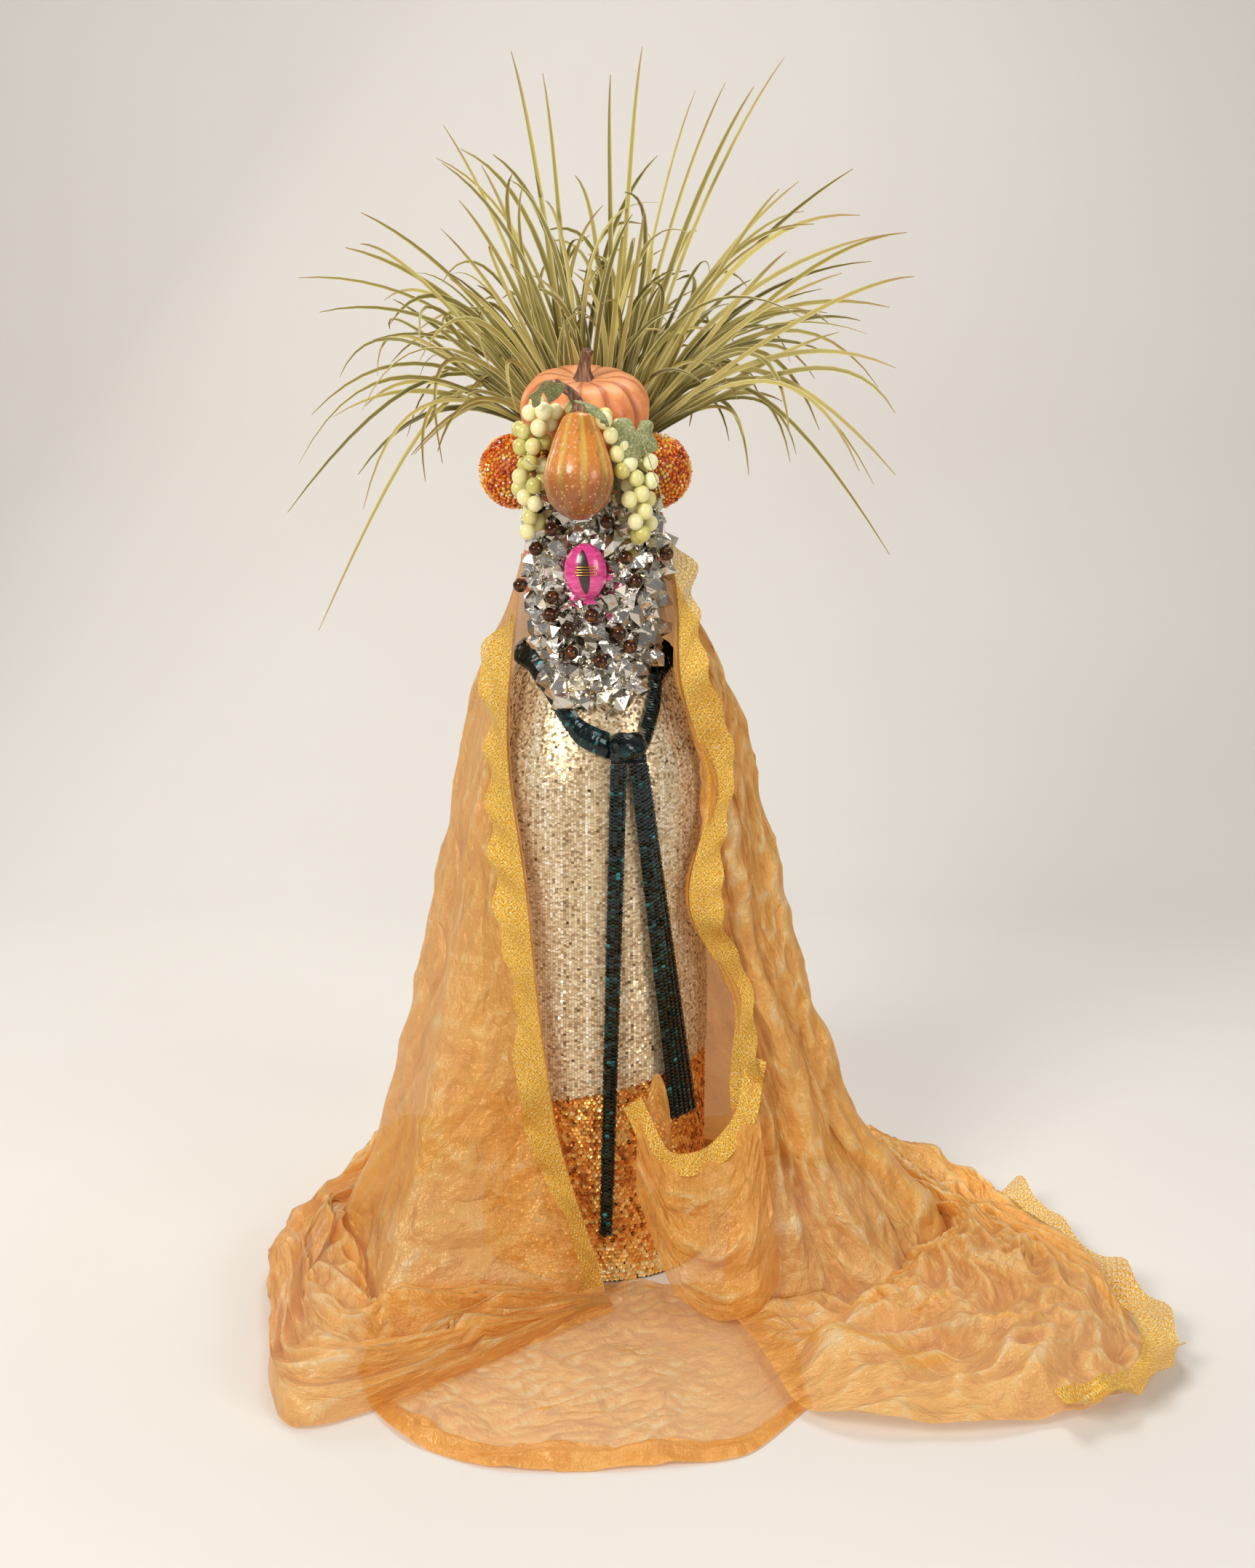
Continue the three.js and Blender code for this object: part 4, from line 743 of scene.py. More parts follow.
# %% Sash bands
SEQUIN_STEP = 0.0034
TAILS = {
    "left": {"turn": -knot_reach / 2, "length": 0.432, "lean": -0.012, "top_width": 0.0138, "end_width": 0.010},
    "right": {"turn": knot_reach / 2, "length": 0.330, "lean": 0.042, "top_width": 0.015, "end_width": 0.025},
}
STUB = 0.008
STUB_SET_BACK = np.array((0, 0.002, 0))


def stub_point(sizes):
    """The short length of a tail above its hinge, where it comes out of the knot."""
    tail = tail_point(**sizes)
    return lambda u, v: tail(u, (v - 1) * STUB / sizes["length"]) + STUB_SET_BACK


collar = keep("sash_collar_band", draped(120, 6, collar_point, (0.52, 0.022)), sash_knit,
              ["sash_collar"])
trims = [scales("sash_collar_scales", collar_point, 6, 150, False, "doll")]
for side, sizes in TAILS.items():
    point = stub_point(sizes)
    stub = draped(6, 6, point, (sizes["top_width"], STUB))
    trims.append(keep(f"sash_{side}_stub", stub, sash_knit))
    trims.append(scales(f"sash_{side}_stub_scales", lambda u, v: point(u, v * 0.5), 4, 2, True, "doll"))
for side, sizes in TAILS.items():
    point = tail_point(**sizes)
    rows = 6 if side == "right" else 4
    band = keep(f"sash_{side}_band", draped(6, 80, point, (sizes["end_width"], sizes["length"])), sash_knit,
                [f"sash_tail_{side}"], body=f"{side}_tail")
    width = (sizes["top_width"] + sizes["end_width"]) / 2 * 1.08
    trim = scales(f"sash_{side}_scales", point, rows, int(sizes["length"] / SEQUIN_STEP), True, f"{side}_tail")

# %% [markdown]
# ## Knot
# The knot is one turn of the band over itself. Tying a real knot out of a cloth grid would be long work that the
# sequins hide, so a squared ball with slanting grooves stands for the wrapped cloth. It takes the same scales on its
# outside.

# %% Knot
GOLDEN_TURN = 2.39996
KNOT_SEQUINS = 260
KNOT_BACK = 0.3
knot_centre = middle("sash_knot") + (0, -0.002, 0.0034)
knot_size = np.array((0.0165, 0.0112, 0.0124))
turn_z = np.array(Matrix.Rotation(math.radians(KNOT_TURN), 3, "Z"))


def spread_on_ball(count):
    """Points spread evenly over a ball of radius 1, along a spiral."""
    turn = np.arange(count) * GOLDEN_TURN
    height = 1 - 2 * (np.arange(count) + 0.5) / count
    ring = np.sqrt(1 - height ** 2)
    return np.stack([np.cos(turn) * ring, np.sin(turn) * ring, height], axis=1)


def knot_skin(ball):
    """Points of a ball of radius 1 as points of the wrapped knot."""
    square = np.sign(ball) * np.abs(ball) ** 0.84
    lay = ball[:, 0] * 0.55 + ball[:, 2] * 0.84
    groove = 1 - 0.2 * (1 - np.abs(np.sin(3.1 * lay + 0.6))) ** 2
    return (square * knot_size * groove[:, None]) @ turn_z.T + knot_centre


ball = bmesh.new()
bmesh.ops.create_uvsphere(ball, u_segments=48, v_segments=32, radius=1)
move_points(ball, knot_skin(points_of(ball)))
keep("sash_knot_band", ball, sash_knit, ["sash_knot"])
sphere = spread_on_ball(KNOT_SEQUINS)
sphere = sphere[sphere[:, 1] < KNOT_BACK]
spots = knot_skin(sphere)
disc = spangle(0.0026, 8)
made = many(disc, placed(disc, spots, (sphere / knot_size) @ turn_z.T, (0.5, 0, 1),
                         rng.normal(0.25, 0.12, len(spots)), rng.normal(0, 0.3, len(spots))),
            shade=np.clip(rng.beta(1.5, 2.6, len(spots)), 0, 1))
keep("sash_knot_scales", made, green, smooth=False)

# %% [markdown]
# ## Foil face
# The face is a crust of crumpled foil lumps glued side to side. They could be strewn at random, but that leaves bare
# patches, so they stand in staggered rows with some play, and leave room for the marbles and the mouth.

# %% Places of the foil lumps
BROW = 0.012
FACE_HEIGHT = 0.172
CHIN = HEAD_TOP - BROW - FACE_HEIGHT
NUGGET_STEP = 0.0142
NUGGET_LIFT = 0.0066
NUGGET_CLEAR = 0.0068
UNDER_STEP = 0.0125
UNDER_SINK = 0.0075
FACE_TURN = 3.5
CHIN_REACH, CHEEK_REACH = 13, 53
MARBLE_ROOM, MOUTH_ROOM = 0.0045, 0.0165


def face_ring(z):
    """The radius that the crust stands on: the head's above, and the gown's below."""
    share = np.clip((z - HEAD_FOOT) / (HEAD_TOP - HEAD_FOOT), 0, 1)
    head = np.where(share > 0.5, (HEAD_RADIUS + head_radius(share)) / 2, HEAD_RADIUS)
    return np.maximum(head, np.where(z < SHOULDER_TOP, gown_radius(z), 0)) + 0.0012


def on_face(angle, above_chin, proud):
    """A place on the crust by its angle, its height above the chin and how far it stands out."""
    return around(angle, face_ring(CHIN + above_chin) + NUGGET_LIFT + proud, CHIN + above_chin)


def face_reach(above_chin):
    """How far the crust goes to each side at a height above the chin, in degrees."""
    return CHIN_REACH + (CHEEK_REACH - CHIN_REACH) * np.minimum(above_chin / FACE_HEIGHT / 0.38, 1) ** 0.9


MARBLES = [f"amber_marble_{k:02d}" for k in range(1, 16)]
marble_centres = np.array([middle(name) for name in MARBLES])
mouth_centre = middle("mouth_oval")
taken = [(spot, MARBLE_ROOM) for spot in marble_centres]
taken += [(mouth_centre + (0, 0, dz), MOUTH_ROOM) for dz in (-0.009, 0.009)]
spots = []
for row, above in enumerate(np.arange(0.006, FACE_HEIGHT + 0.010, NUGGET_STEP * ROW_PACK)):
    reach = face_reach(above)
    ring = face_ring(CHIN + above) + 0.006
    count = max(2, int(2 * math.radians(reach) * ring / NUGGET_STEP))
    for k in range(count + 1):
        along = np.clip((k + (0.25 if row % 2 else -0.25)) / count, 0, 1)
        angle = FACE_TURN + (2 * along - 1) * reach + rng.normal(0, 1.2)
        spots.append(on_face(angle, above + rng.normal(0, 0.0015), rng.uniform(-0.002, 0.004)))
spots = [s for s in spots if all(np.linalg.norm(s - c) > r + NUGGET_CLEAR for c, r in taken)]

# A second, sunken layer closes the gaps between the lumps.
spots += [on_face(a, h, -UNDER_SINK) for h in np.arange(0.008, FACE_HEIGHT + 0.004, UNDER_STEP)
          for a in FACE_TURN + np.arange(-1, 1.01, 0.2) * (face_reach(h) - 2)]

print("foil lumps:", len(spots))

# %% [markdown]
# Crumpled foil has sharp ridges and hollows. Each lump is a coarse ball whose points are pushed in or out at random
# and left with flat facets, so that every facet mirrors the lamps in its own way.

# %% Foil lumps
lump = bmesh.new()
bmesh.ops.create_icosphere(lump, subdivisions=1, radius=1)
bmesh.ops.subdivide_edges(lump, edges=[e for k, e in enumerate(lump.edges) if k % 9 == 0], cuts=1)
bmesh.ops.triangulate(lump, faces=lump.faces)
base = points_of(lump)
crumple = 0.66 + 0.60 * rng.random((len(spots), len(base))) ** 1.2
shape = base[None] * crumple[:, :, None] * rng.uniform(0.75, 1.15, (len(spots), 1, 3))
turns = [Matrix.Rotation(rng.uniform(0, FULL_TURN), 3, Vector(unit(rng.normal(size=3)))) for _ in spots]
sizes = rng.uniform(0.0094, 0.0130, len(spots))
shape = np.einsum("nij,nvj->nvi", np.array(turns), shape) * sizes[:, None, None] + np.array(spots)[:, None, :]
foil = Finish("foil_nuggets", metallic=1.0, roughness=0.12)
shade = foil.value("shade")
dent = foil.noise(foil.where(), 150, 3.0, 0.5)
foil.wire(
    base_color=foil.ramp(shade, (0.0, "#b3ada0"), (0.6, "#dcd7cc"), (0.94, "#f6f2ea"), (1.0, "#ecd9a8")),
    roughness=0.12 + dent * 0.14, normal=foil.bump(dent, 0.0018, 0.55))
crust = many(lump, shape, shade=rng.random(len(spots)))
keep("foil_face", crust, foil, ["nugget_mask"], smooth=False)

# %% [markdown]
# ## Amber marbles
# Dark amber glass balls are pressed into the foil. Each is a smooth ball at its solid's centre. Glass that lets a
# little light through keeps the warm glow that a black paint would lose.

# %% Amber marbles
MARBLE_RADIUS = 0.0064
MARBLE_PROUD = 0.002

amber = Finish("amber_glass", roughness=0.05, transmission_weight=0.22, ior=1.45)
swirl = amber.noise(amber.where(), 190, 3.0)
amber.wire(base_color=amber.ramp(swirl, (0.35, "#241004"), (0.55, "#4a2408"), (0.72, "#a4601a")))
marble = bmesh.new()
bmesh.ops.create_uvsphere(marble, u_segments=28, v_segments=18, radius=MARBLE_RADIUS)
bmesh.ops.triangulate(marble, faces=marble.faces)
seats = marble_centres + unit(marble_centres * (1, 1, 0)) * MARBLE_PROUD
keep("amber_marbles", many(marble, seats[:, None, :] + points_of(marble)[None]), amber, MARBLES)

# %% [markdown]
# ## Mouth
# A pink oval with a dark upright slit, bound across with fine gold wire, sits under the nose. The oval could be spun,
# but it is wider than it is deep, so a ball is stretched. Its skin is streaked and glossy.

# %% Mouth oval
MOUTH_SIZE = np.array((0.0185, 0.014, 0.0245))
mouth_turn = np.array(Matrix.Rotation(math.radians(-4), 3, "Z"))


pink = Finish("pink_enamel", roughness=0.22, coat_weight=0.7, coat_roughness=0.06)
streak = pink.noise(pink.stretch(pink.where(), (90, 90, 420)), 1.0, 3.0)
pink.wire(
    base_color=pink.ramp(streak, (0.3, "#c8327f"), (0.55, "#e0468f"), (0.75, "#ee76b2")),
    normal=pink.bump(streak, 0.0003))
oval = bmesh.new()
bmesh.ops.create_uvsphere(oval, u_segments=48, v_segments=32, radius=1)
move_points(oval, (points_of(oval) * MOUTH_SIZE) @ mouth_turn.T + mouth_centre)
keep("mouth_pink", oval, pink, ["mouth_oval"])

# %% [markdown]
# The slit could be cut into the oval, but its shaded inside is painted instead, as a dark lens-shaped patch just over
# the oval.

# %% Mouth slit
SLIT_HALF_WIDTH, SLIT_HALF_HEIGHT, SLIT_LEAN = 0.0049, 0.0192, 0.0016
SLIT_PROUD = 0.0004


def on_mouth(x, z, proud):
    """A point on the front of the oval, at x across and z up from its centre."""
    dome = np.sqrt(np.maximum(1 - (x / MOUTH_SIZE[0]) ** 2 - (z / MOUTH_SIZE[2]) ** 2, 0))
    local = np.stack([x, -(MOUTH_SIZE[1] + proud) * dome - proud * 0.2, z], axis=-1)
    return local @ mouth_turn.T + mouth_centre


# Painted shade: the dark patch stands for the shade inside the slit.
slit_shade = Finish("dark_inlay", roughness=0.3, coat_weight=0.4, coat_roughness=0.1)
slit_shade.wire(base_color=slit_shade.mix(slit_shade.noise(slit_shade.where(), 220, 4.0), "#150b08", "#4a3026"))


def slit_point(u, v):
    """The slit, which narrows to a point above and below."""
    across, up = 2 * u - 1, 2 * v - 1
    half = SLIT_HALF_WIDTH * np.sqrt(np.maximum(1 - up ** 2, 0)) ** 1.3
    return on_mouth(across * half - up * SLIT_LEAN, up * SLIT_HALF_HEIGHT, SLIT_PROUD)


lens = draped(10, 40, slit_point)
bmesh.ops.remove_doubles(lens, verts=lens.verts, dist=1e-6)
keep("mouth_slit_shade", lens, slit_shade, ["mouth_slit"])

# %% [markdown]
# The wire runs to and fro across the front. A curve with a bevel could make it, but a ring of points bridged along a
# path gives a closed mesh, and the same helper makes stalks and vines later on.

# %% Mouth wire
WIRE_PROUD = 0.0013
WIRE_PASSES = 4
WIRE_STEP = 0.0023
WIRE_HALF = 0.0090


def drawn(path, radius, sides, flutes=0, depth=0.0):
    """A closed stalk: a ring of points carried along a path, its radius given by radius(share)."""
    path = np.asarray(path, float)
    shares = np.linspace(0, 1, len(path))
    ahead = unit(np.gradient(path, axis=0))
    across = unit(np.cross(ahead, (0.31, 0.95, 0.05)))
    beside = np.cross(ahead, across)
    bm = bmesh.new()
    turn = np.linspace(0, 2 * np.pi, sides, endpoint=False)
    loops = []
    for k, share in enumerate(shares):
        reach = radius(share) * (1 + depth * np.cos(flutes * turn))
        ring = path[k] + reach[:, None] * (np.cos(turn)[:, None] * across[k] + np.sin(turn)[:, None] * beside[k])
        corners = [bm.verts.new(spot) for spot in ring]
        loops.append([bm.edges.new((a, b)) for a, b in zip(corners, corners[1:] + corners[:1])])
    for low, high in zip(loops, loops[1:]):
        bmesh.ops.bridge_loops(bm, edges=low + high)
    for rim in (loops[0], loops[-1]):
        bmesh.ops.contextual_create(bm, geom=rim)
    bmesh.ops.recalc_face_normals(bm, faces=bm.faces)
    return bm


gold = Finish("gold_wire", metallic=1.0, roughness=0.22)
gold.wire(base_color=gold.mix(gold.noise(gold.where(), 900), "#c9922e", "#f2d27c"))
route = []
for k in range(WIRE_PASSES):
    step = np.linspace(-1, 1, 15) * (-1 if k % 2 else 1)
    height = 0.0012 + (k - (WIRE_PASSES - 1) / 2) * WIRE_STEP + step * 0.0003
    route.append(on_mouth(0.0015 + step * WIRE_HALF, height, WIRE_PROUD))
keep("mouth_gold_wire", drawn(np.concatenate(route), lambda s: 0.00046, 6), gold, ["mouth_wire"])

# %% [markdown]
# Small scraps of the same pink show below and beside the oval, between the nuggets. Their exact shape can't be told
# at that size, so each is a coarse ball, dented and flattened.

# %% Pink scraps
# Each scrap's place across and up from the mouth's centre, and its size.
SCRAPS = [(-0.010, -0.0225, 0.0064), (0.004, -0.0255, 0.0070), (0.0190, -0.006, 0.0050)]
petals = bmesh.new()
for x, z, size in SCRAPS:
    scrap = bmesh.ops.create_icosphere(petals, subdivisions=1, radius=size)["verts"]
    for vert in scrap:
        vert.co *= rng.uniform(0.55, 1.35)
    bmesh.ops.scale(petals, verts=scrap, vec=(1, 0.4, 0.8))
    bmesh.ops.translate(petals, verts=scrap, vec=Vector(mouth_centre + (x, 0.002, z)))
bmesh.ops.recalc_face_normals(petals, faces=petals.faces)
keep("mouth_scraps", petals, pink, smooth=False)

# %% [markdown]
# ## Pumpkin
# A small ribbed pumpkin sits on the crown and leans forward. A ball is squashed, and its points are drawn in along
# eleven grooves. Each point notes how deep in a groove it lies.

# %% Pumpkin shape
PUMPKIN_RIBS = 11
PUMPKIN_TILT = math.radians(20)
PUMPKIN_RADIUS, PUMPKIN_HALF_HEIGHT = 0.058, 0.0375
GROOVE_DEPTH = 0.11
pumpkin_middle = middle("pumpkin")
fruit = bmesh.new()
bmesh.ops.create_uvsphere(fruit, u_segments=132, v_segments=48, radius=1)
groove_layer = fruit.verts.layers.float.new("groove")
for vert in fruit.verts:
    rise = math.asin(max(-1, min(1, vert.co.z)))
    turn = math.atan2(vert.co.y, vert.co.x)
    uneven = 1 + 0.02 * math.sin(3 * turn + 1)
    vert[groove_layer] = (1 - abs(math.sin(PUMPKIN_RIBS * turn / 2 + 0.25 * math.sin(turn)))) ** 2
    groove = 1 - GROOVE_DEPTH * vert[groove_layer]
    reach = PUMPKIN_RADIUS * max(math.cos(rise), 0) ** 0.75 * groove * uneven
    z = PUMPKIN_HALF_HEIGHT * vert.co.z * (1 - 0.26 * abs(vert.co.z) ** 8)
    vert.co = (reach * math.cos(turn), reach * math.sin(turn), z)
bmesh.ops.rotate(fruit, verts=fruit.verts, cent=(0, 0, 0), matrix=Matrix.Rotation(PUMPKIN_TILT, 3, "X"))
bmesh.ops.translate(fruit, verts=fruit.verts, vec=Vector(pumpkin_middle))
print("pumpkin points:", len(fruit.verts))

# %% [markdown]
# The skin is coral with fine scars, lightened to peach on top by painted light and darkened in the grooves by
# painted shade. A painted picture could show that, but noise read at the object's own coordinates has no seam and
# no pixels.

# %% Pumpkin skin
pumpkin_skin = Finish("pumpkin_skin", roughness=0.42, coat_weight=0.15, coat_roughness=0.3)
point = pumpkin_skin.where()
mottle = pumpkin_skin.noise(point, 45, 5.0)
height = pumpkin_skin.node("ShaderNodeSeparateXYZ", None, {0: point}, out=2)
# Painted light: the top of the pumpkin is lightened towards peach.
lit = (height - float(pumpkin_middle[2] + 0.012)).above(0.0, 0.02)
skin = pumpkin_skin.ramp(mottle, (0.3, "#cf6430"), (0.5, "#e88a4c"), (0.7, "#f2aa6c"))
scar = pumpkin_skin.noise(pumpkin_skin.stretch(point, (1, 1, 3)), 130, 2.0).above(0.68, 0.04)
skin = pumpkin_skin.mix(lit * 0.45, skin, "#f6ba84")
# Painted shade: the grooves are darkened.
groove_shade = (pumpkin_skin.value("groove") + (mottle - 0.5) * 0.8).above(0.42, 0.3)
skin = pumpkin_skin.mix(groove_shade * 0.65, skin, "#a8431f")
pumpkin_skin.wire(
    base_color=pumpkin_skin.mix(scar * 0.5, skin, "#a9552f"), roughness=0.34 + mottle * 0.2,
    normal=pumpkin_skin.bump(pumpkin_skin.noise(point, 140, 3.0), 0.0008))
keep("crown_pumpkin", fruit, pumpkin_skin, ["pumpkin"])

# %% [markdown]
# ## Gourd
# The nose is a pear-shaped gourd. Its profile is spun and then drawn in along nine shallow ribs. Its stripes will
# follow the ribs, so each point notes where it lies across its rib and how far up the gourd.

# %% Gourd shape
GOURD_HEIGHT = 0.092
GOURD_RADIUS = 0.030
GOURD_FRONT = -0.10825
GOURD_TILT = math.radians(12)
GOURD_RIBS = 9
GOURD_PROFILE = np.array([
    (0, 0), (0.015, 0.24), (0.06, 0.51), (0.17, 0.84), (0.36, 1), (0.5, 0.95), (0.65, 0.81), (0.76, 0.7),
    (0.87, 0.56), (0.95, 0.44), (0.99, 0.22), (1, 0)])
gourd_low, gourd_high = box("gourd")
gourd_foot = np.array(((gourd_low[0] + gourd_high[0]) / 2, GOURD_FRONT, gourd_low[2]))
gourd_up = np.array((0, math.sin(GOURD_TILT), math.cos(GOURD_TILT)))


def gourd_radius(share):
    """The radius of the gourd at a share of its height."""
    return GOURD_RADIUS * np.interp(share, GOURD_PROFILE[:, 0], GOURD_PROFILE[:, 1])


outline = through(GOURD_PROFILE, np.linspace(0, 1, 67))
body = turned([(max(r, 0) * GOURD_RADIUS, s * GOURD_HEIGHT) for s, r in outline], 90)
stripe_layer = body.verts.layers.float.new("stripe")
share_layer = body.verts.layers.float.new("share")
for vert in body.verts:
    turn = math.atan2(vert.co.y, vert.co.x)
    vert[stripe_layer] = abs(math.sin(GOURD_RIBS * turn / 2))
    groove = 1 - 0.045 * (1 - abs(math.sin(GOURD_RIBS * turn / 2))) ** 2
    vert[share_layer] = vert.co.z / GOURD_HEIGHT
    vert.co.x *= groove
    vert.co.y *= groove
bmesh.ops.rotate(body, verts=body.verts, cent=(0, 0, 0), matrix=Matrix.Rotation(-GOURD_TILT, 3, "X"))
bmesh.ops.translate(body, verts=body.verts, vec=Vector(gourd_foot))
print("gourd points:", len(body.verts))

# %% [markdown]
# The gourd is striped orange and straw, brown and freckled at the bottom. Noise makes the stripes waver, so that they
# look grown and not painted.

# %% Gourd skin
gourd_skin = Finish("gourd_skin", roughness=0.35, coat_weight=0.5, coat_roughness=0.15)
point = gourd_skin.where()
wobble = gourd_skin.noise(point, 60, 4.0)
stripe = (gourd_skin.value("stripe") + (wobble - 0.5) * 0.9).above(0.45, 0.22)
share = gourd_skin.value("share") + (wobble - 0.5) * 0.25
orange = gourd_skin.mix(gourd_skin.noise(point, 28, 4.0), "#c25a16", "#ec8c30")
striped = gourd_skin.mix(stripe * 0.75, gourd_skin.mix(wobble, "#c49c3c", "#e6bc62"), orange)
browned = gourd_skin.mix((1 - share.above(0.36, 0.2)) * 0.8, striped, "#7c3c14")
freckle = 1 - gourd_skin.cells(point, 260).above(0.22, 0.08)
freckled = gourd_skin.mix(freckle * (1 - share.above(0.8, 0.2)) * 0.7, browned, "#e2b060")
wart = 1 - gourd_skin.cells(gourd_skin.stretch(point, (1, 1, 0.8)), 150).above(0.3, 0.2)
gourd_skin.wire(base_color=freckled, roughness=0.24 + wobble * 0.25, normal=gourd_skin.bump(wart + wobble, 0.0009))
keep("nose_gourd", body, gourd_skin, ["gourd"])

# %% [markdown]
# ## Stalks
# Both stalks are woody, fluted and wider where they meet the fruit. A ring could be extruded and turned step by step.
# The helper that made the wire does just that, so a fluted ring is carried along each bent path.

# %% Stalks
stalk = Finish("woody_stalk", roughness=0.75)
fibres = stalk.noise(stalk.stretch(stalk.where(), (320, 320, 60)), 1.0, 4.0)
stalk.wire(
    base_color=stalk.ramp(fibres, (0.3, "#3b2618"), (0.5, "#77523a"), (0.68, "#a98468")),
    normal=stalk.bump(fibres, 0.0012))
pumpkin_up = np.array((0, -math.sin(PUMPKIN_TILT), math.cos(PUMPKIN_TILT)))


def pumpkin_taper(share):
    return 0.0046 + 0.0075 * (1 - share) ** 4 + 0.0008 * (share > 0.95)


def gourd_taper(share):
    return 0.0036 + 0.0052 * (1 - share) ** 3 + 0.0012 * smoothstep(share, 0.85, 1.0)


share = np.linspace(-0.25, 1, 18)[:, None]
path = pumpkin_middle + pumpkin_up * (0.030 + 0.024 * share) + np.array((0.004, 0, 0)) * share ** 2 * np.sign(share)
keep("pumpkin_stalk", drawn(path, pumpkin_taper, 30, 5, 0.16), stalk, ["pumpkin_stem"])
share = np.linspace(-0.12, 1, 22)[:, None]
gourd_tip = gourd_foot + gourd_up * GOURD_HEIGHT
path = gourd_tip + gourd_up * 0.034 * 0.75 * np.sin(share * 1.2) + np.array((-0.0204, 0, 0)) * share * np.abs(share)
keep("gourd_stalk", drawn(path, gourd_taper, 30, 5, 0.17), stalk, ["gourd_stem"])

# %% [markdown]
# ## Grapes
# Two bunches of pale green grapes hang from the brow past the nose. The front grapes stand where the solids are, and
# a second layer fills the bunch behind them. Grapes strewn at random would lose the bunches' outline, so each has a
# place of its own.

# %% Places of the grapes
FRONT_RING, BACK_RING = 0.095, 0.083
# Each grape's place across, as a share of the head's radius, and above the chin, as a share of the face's height.
FRONT_GRAPES = {
    "left": [(-0.62, 1.48), (-0.83, 1.47), (-0.69, 1.40), (-0.89, 1.38), (-0.77, 1.31), (-0.94, 1.30), (-0.81, 1.23),
             (-0.97, 1.16), (-0.78, 1.12), (-0.91, 1.06), (-0.73, 1.03), (-0.84, 0.96), (-0.86, 0.89)],
    "right": [(0.17, 1.44), (0.27, 1.36), (0.45, 1.32), (0.36, 1.27), (0.50, 1.23), (0.41, 1.19), (0.78, 1.23),
              (0.59, 1.16), (0.80, 1.14), (0.67, 1.08), (0.50, 1.05), (0.72, 0.99), (0.59, 0.94), (0.70, 0.88)],
}
BACK_GRAPES = {
    "left": [(-0.47, 1.475), (-0.72, 1.52), (-0.55, 1.42), (-0.98, 1.40), (-0.62, 1.34), (-0.90, 1.22), (-0.68, 1.22),
             (-0.86, 1.13), (-0.68, 1.14), (-1.0, 1.09), (-0.82, 1.0), (-0.74, 0.93)],
    "right": [(-0.24, 1.49), (-0.08, 1.46), (0.20, 1.46), (0.36, 1.40), (0.56, 1.30), (0.42, 1.26), (0.66, 1.20),
              (0.70, 1.15), (0.50, 1.12), (0.78, 1.05), (0.60, 1.02), (0.80, 0.93), (0.62, 0.87)],
}


def grape_centre(side, share, ring=FRONT_RING):
    """The middle of a grape by its shares across the head and up the face."""
    x = side * HEAD_RADIUS
    return np.array((x, -math.sqrt(ring ** 2 - x * x), CHIN + share * FACE_HEIGHT))


print("grapes in front:", {side: len(places) for side, places in FRONT_GRAPES.items()})

# %% [markdown]
# Every grape is a copy of one ball, and a thin vine runs behind them. The flesh lets light in a little, so the finish
# has some subsurface.

# %% Grape bunches
GRAPE_RADIUS = 0.0072

grape_skin = Finish("grape_skin", roughness=0.3, subsurface_weight=0.35, subsurface_scale=0.006, coat_weight=0.25,
                    coat_roughness=0.2)
grape_skin.shader.inputs["Subsurface Radius"].default_value = (1.0, 0.9, 0.35)
bloom = grape_skin.noise(grape_skin.where(), 150, 4.0)
tone = grape_skin.value("shade") * 0.6 + bloom * 0.4
grape_skin.wire(
    base_color=grape_skin.ramp(tone, (0.2, "#cdc66e"), (0.5, "#eae4a0"), (0.8, "#faf6c8")),
    roughness=0.2 + bloom * 0.25)
for side in FRONT_GRAPES:
    centres = [grape_centre(*place) for place in FRONT_GRAPES[side]]
    centres += [grape_centre(*place, ring=BACK_RING) for place in BACK_GRAPES[side]]
    centres = np.array(centres) + rng.normal(0, 0.0006, (len(centres), 3))
    # Grapes that would sit inside the gourd are moved out of it.
    axis = gourd_foot + gourd_up * np.clip((centres - gourd_foot) @ gourd_up, 0.0, GOURD_HEIGHT)[:, None]
    apart = centres - axis
    room = gourd_radius((axis[:, 2] - gourd_foot[2]) / GOURD_HEIGHT / gourd_up[2]) + GRAPE_RADIUS * 0.9
    near = np.linalg.norm(apart, axis=1)
    centres += unit(apart) * np.maximum(room - near, 0)[:, None]
    berry = bmesh.new()
    bmesh.ops.create_uvsphere(berry, u_segments=18, v_segments=12, radius=GRAPE_RADIUS)
    bmesh.ops.triangulate(berry, faces=berry.faces)
    base = points_of(berry) * (1, 1, 1.06)
    sizes = rng.uniform(0.92, 1.06, len(centres))[:, None, None]
    bunch = many(berry, centres[:, None, :] + base[None] * sizes, shade=rng.random(len(centres)))
    keep(f"grape_bunch_{side}", bunch, grape_skin, [f"grapes_{side}"])

    spine = centres[:len(FRONT_GRAPES[side])][::4] + (0, 0.006, 0)
    hook = pumpkin_middle * 0.6 + centres[0] * 0.4
    path = through(np.array([hook, *spine]), np.linspace(0, 1, 40))
    vine = drawn(path, lambda s: 0.0016, 8)
    keep(f"grape_vine_{side}", vine, stalk)

# %% [markdown]
# ## Leaves
# Pressed cloth leaves with rounded lobes and a pebbled face are tucked among the grapes. A flat card with the leaf
# cut out in its finish would look thin from the side, so a disc of quads is drawn out into the lobed outline, cupped
# a little and given thickness.

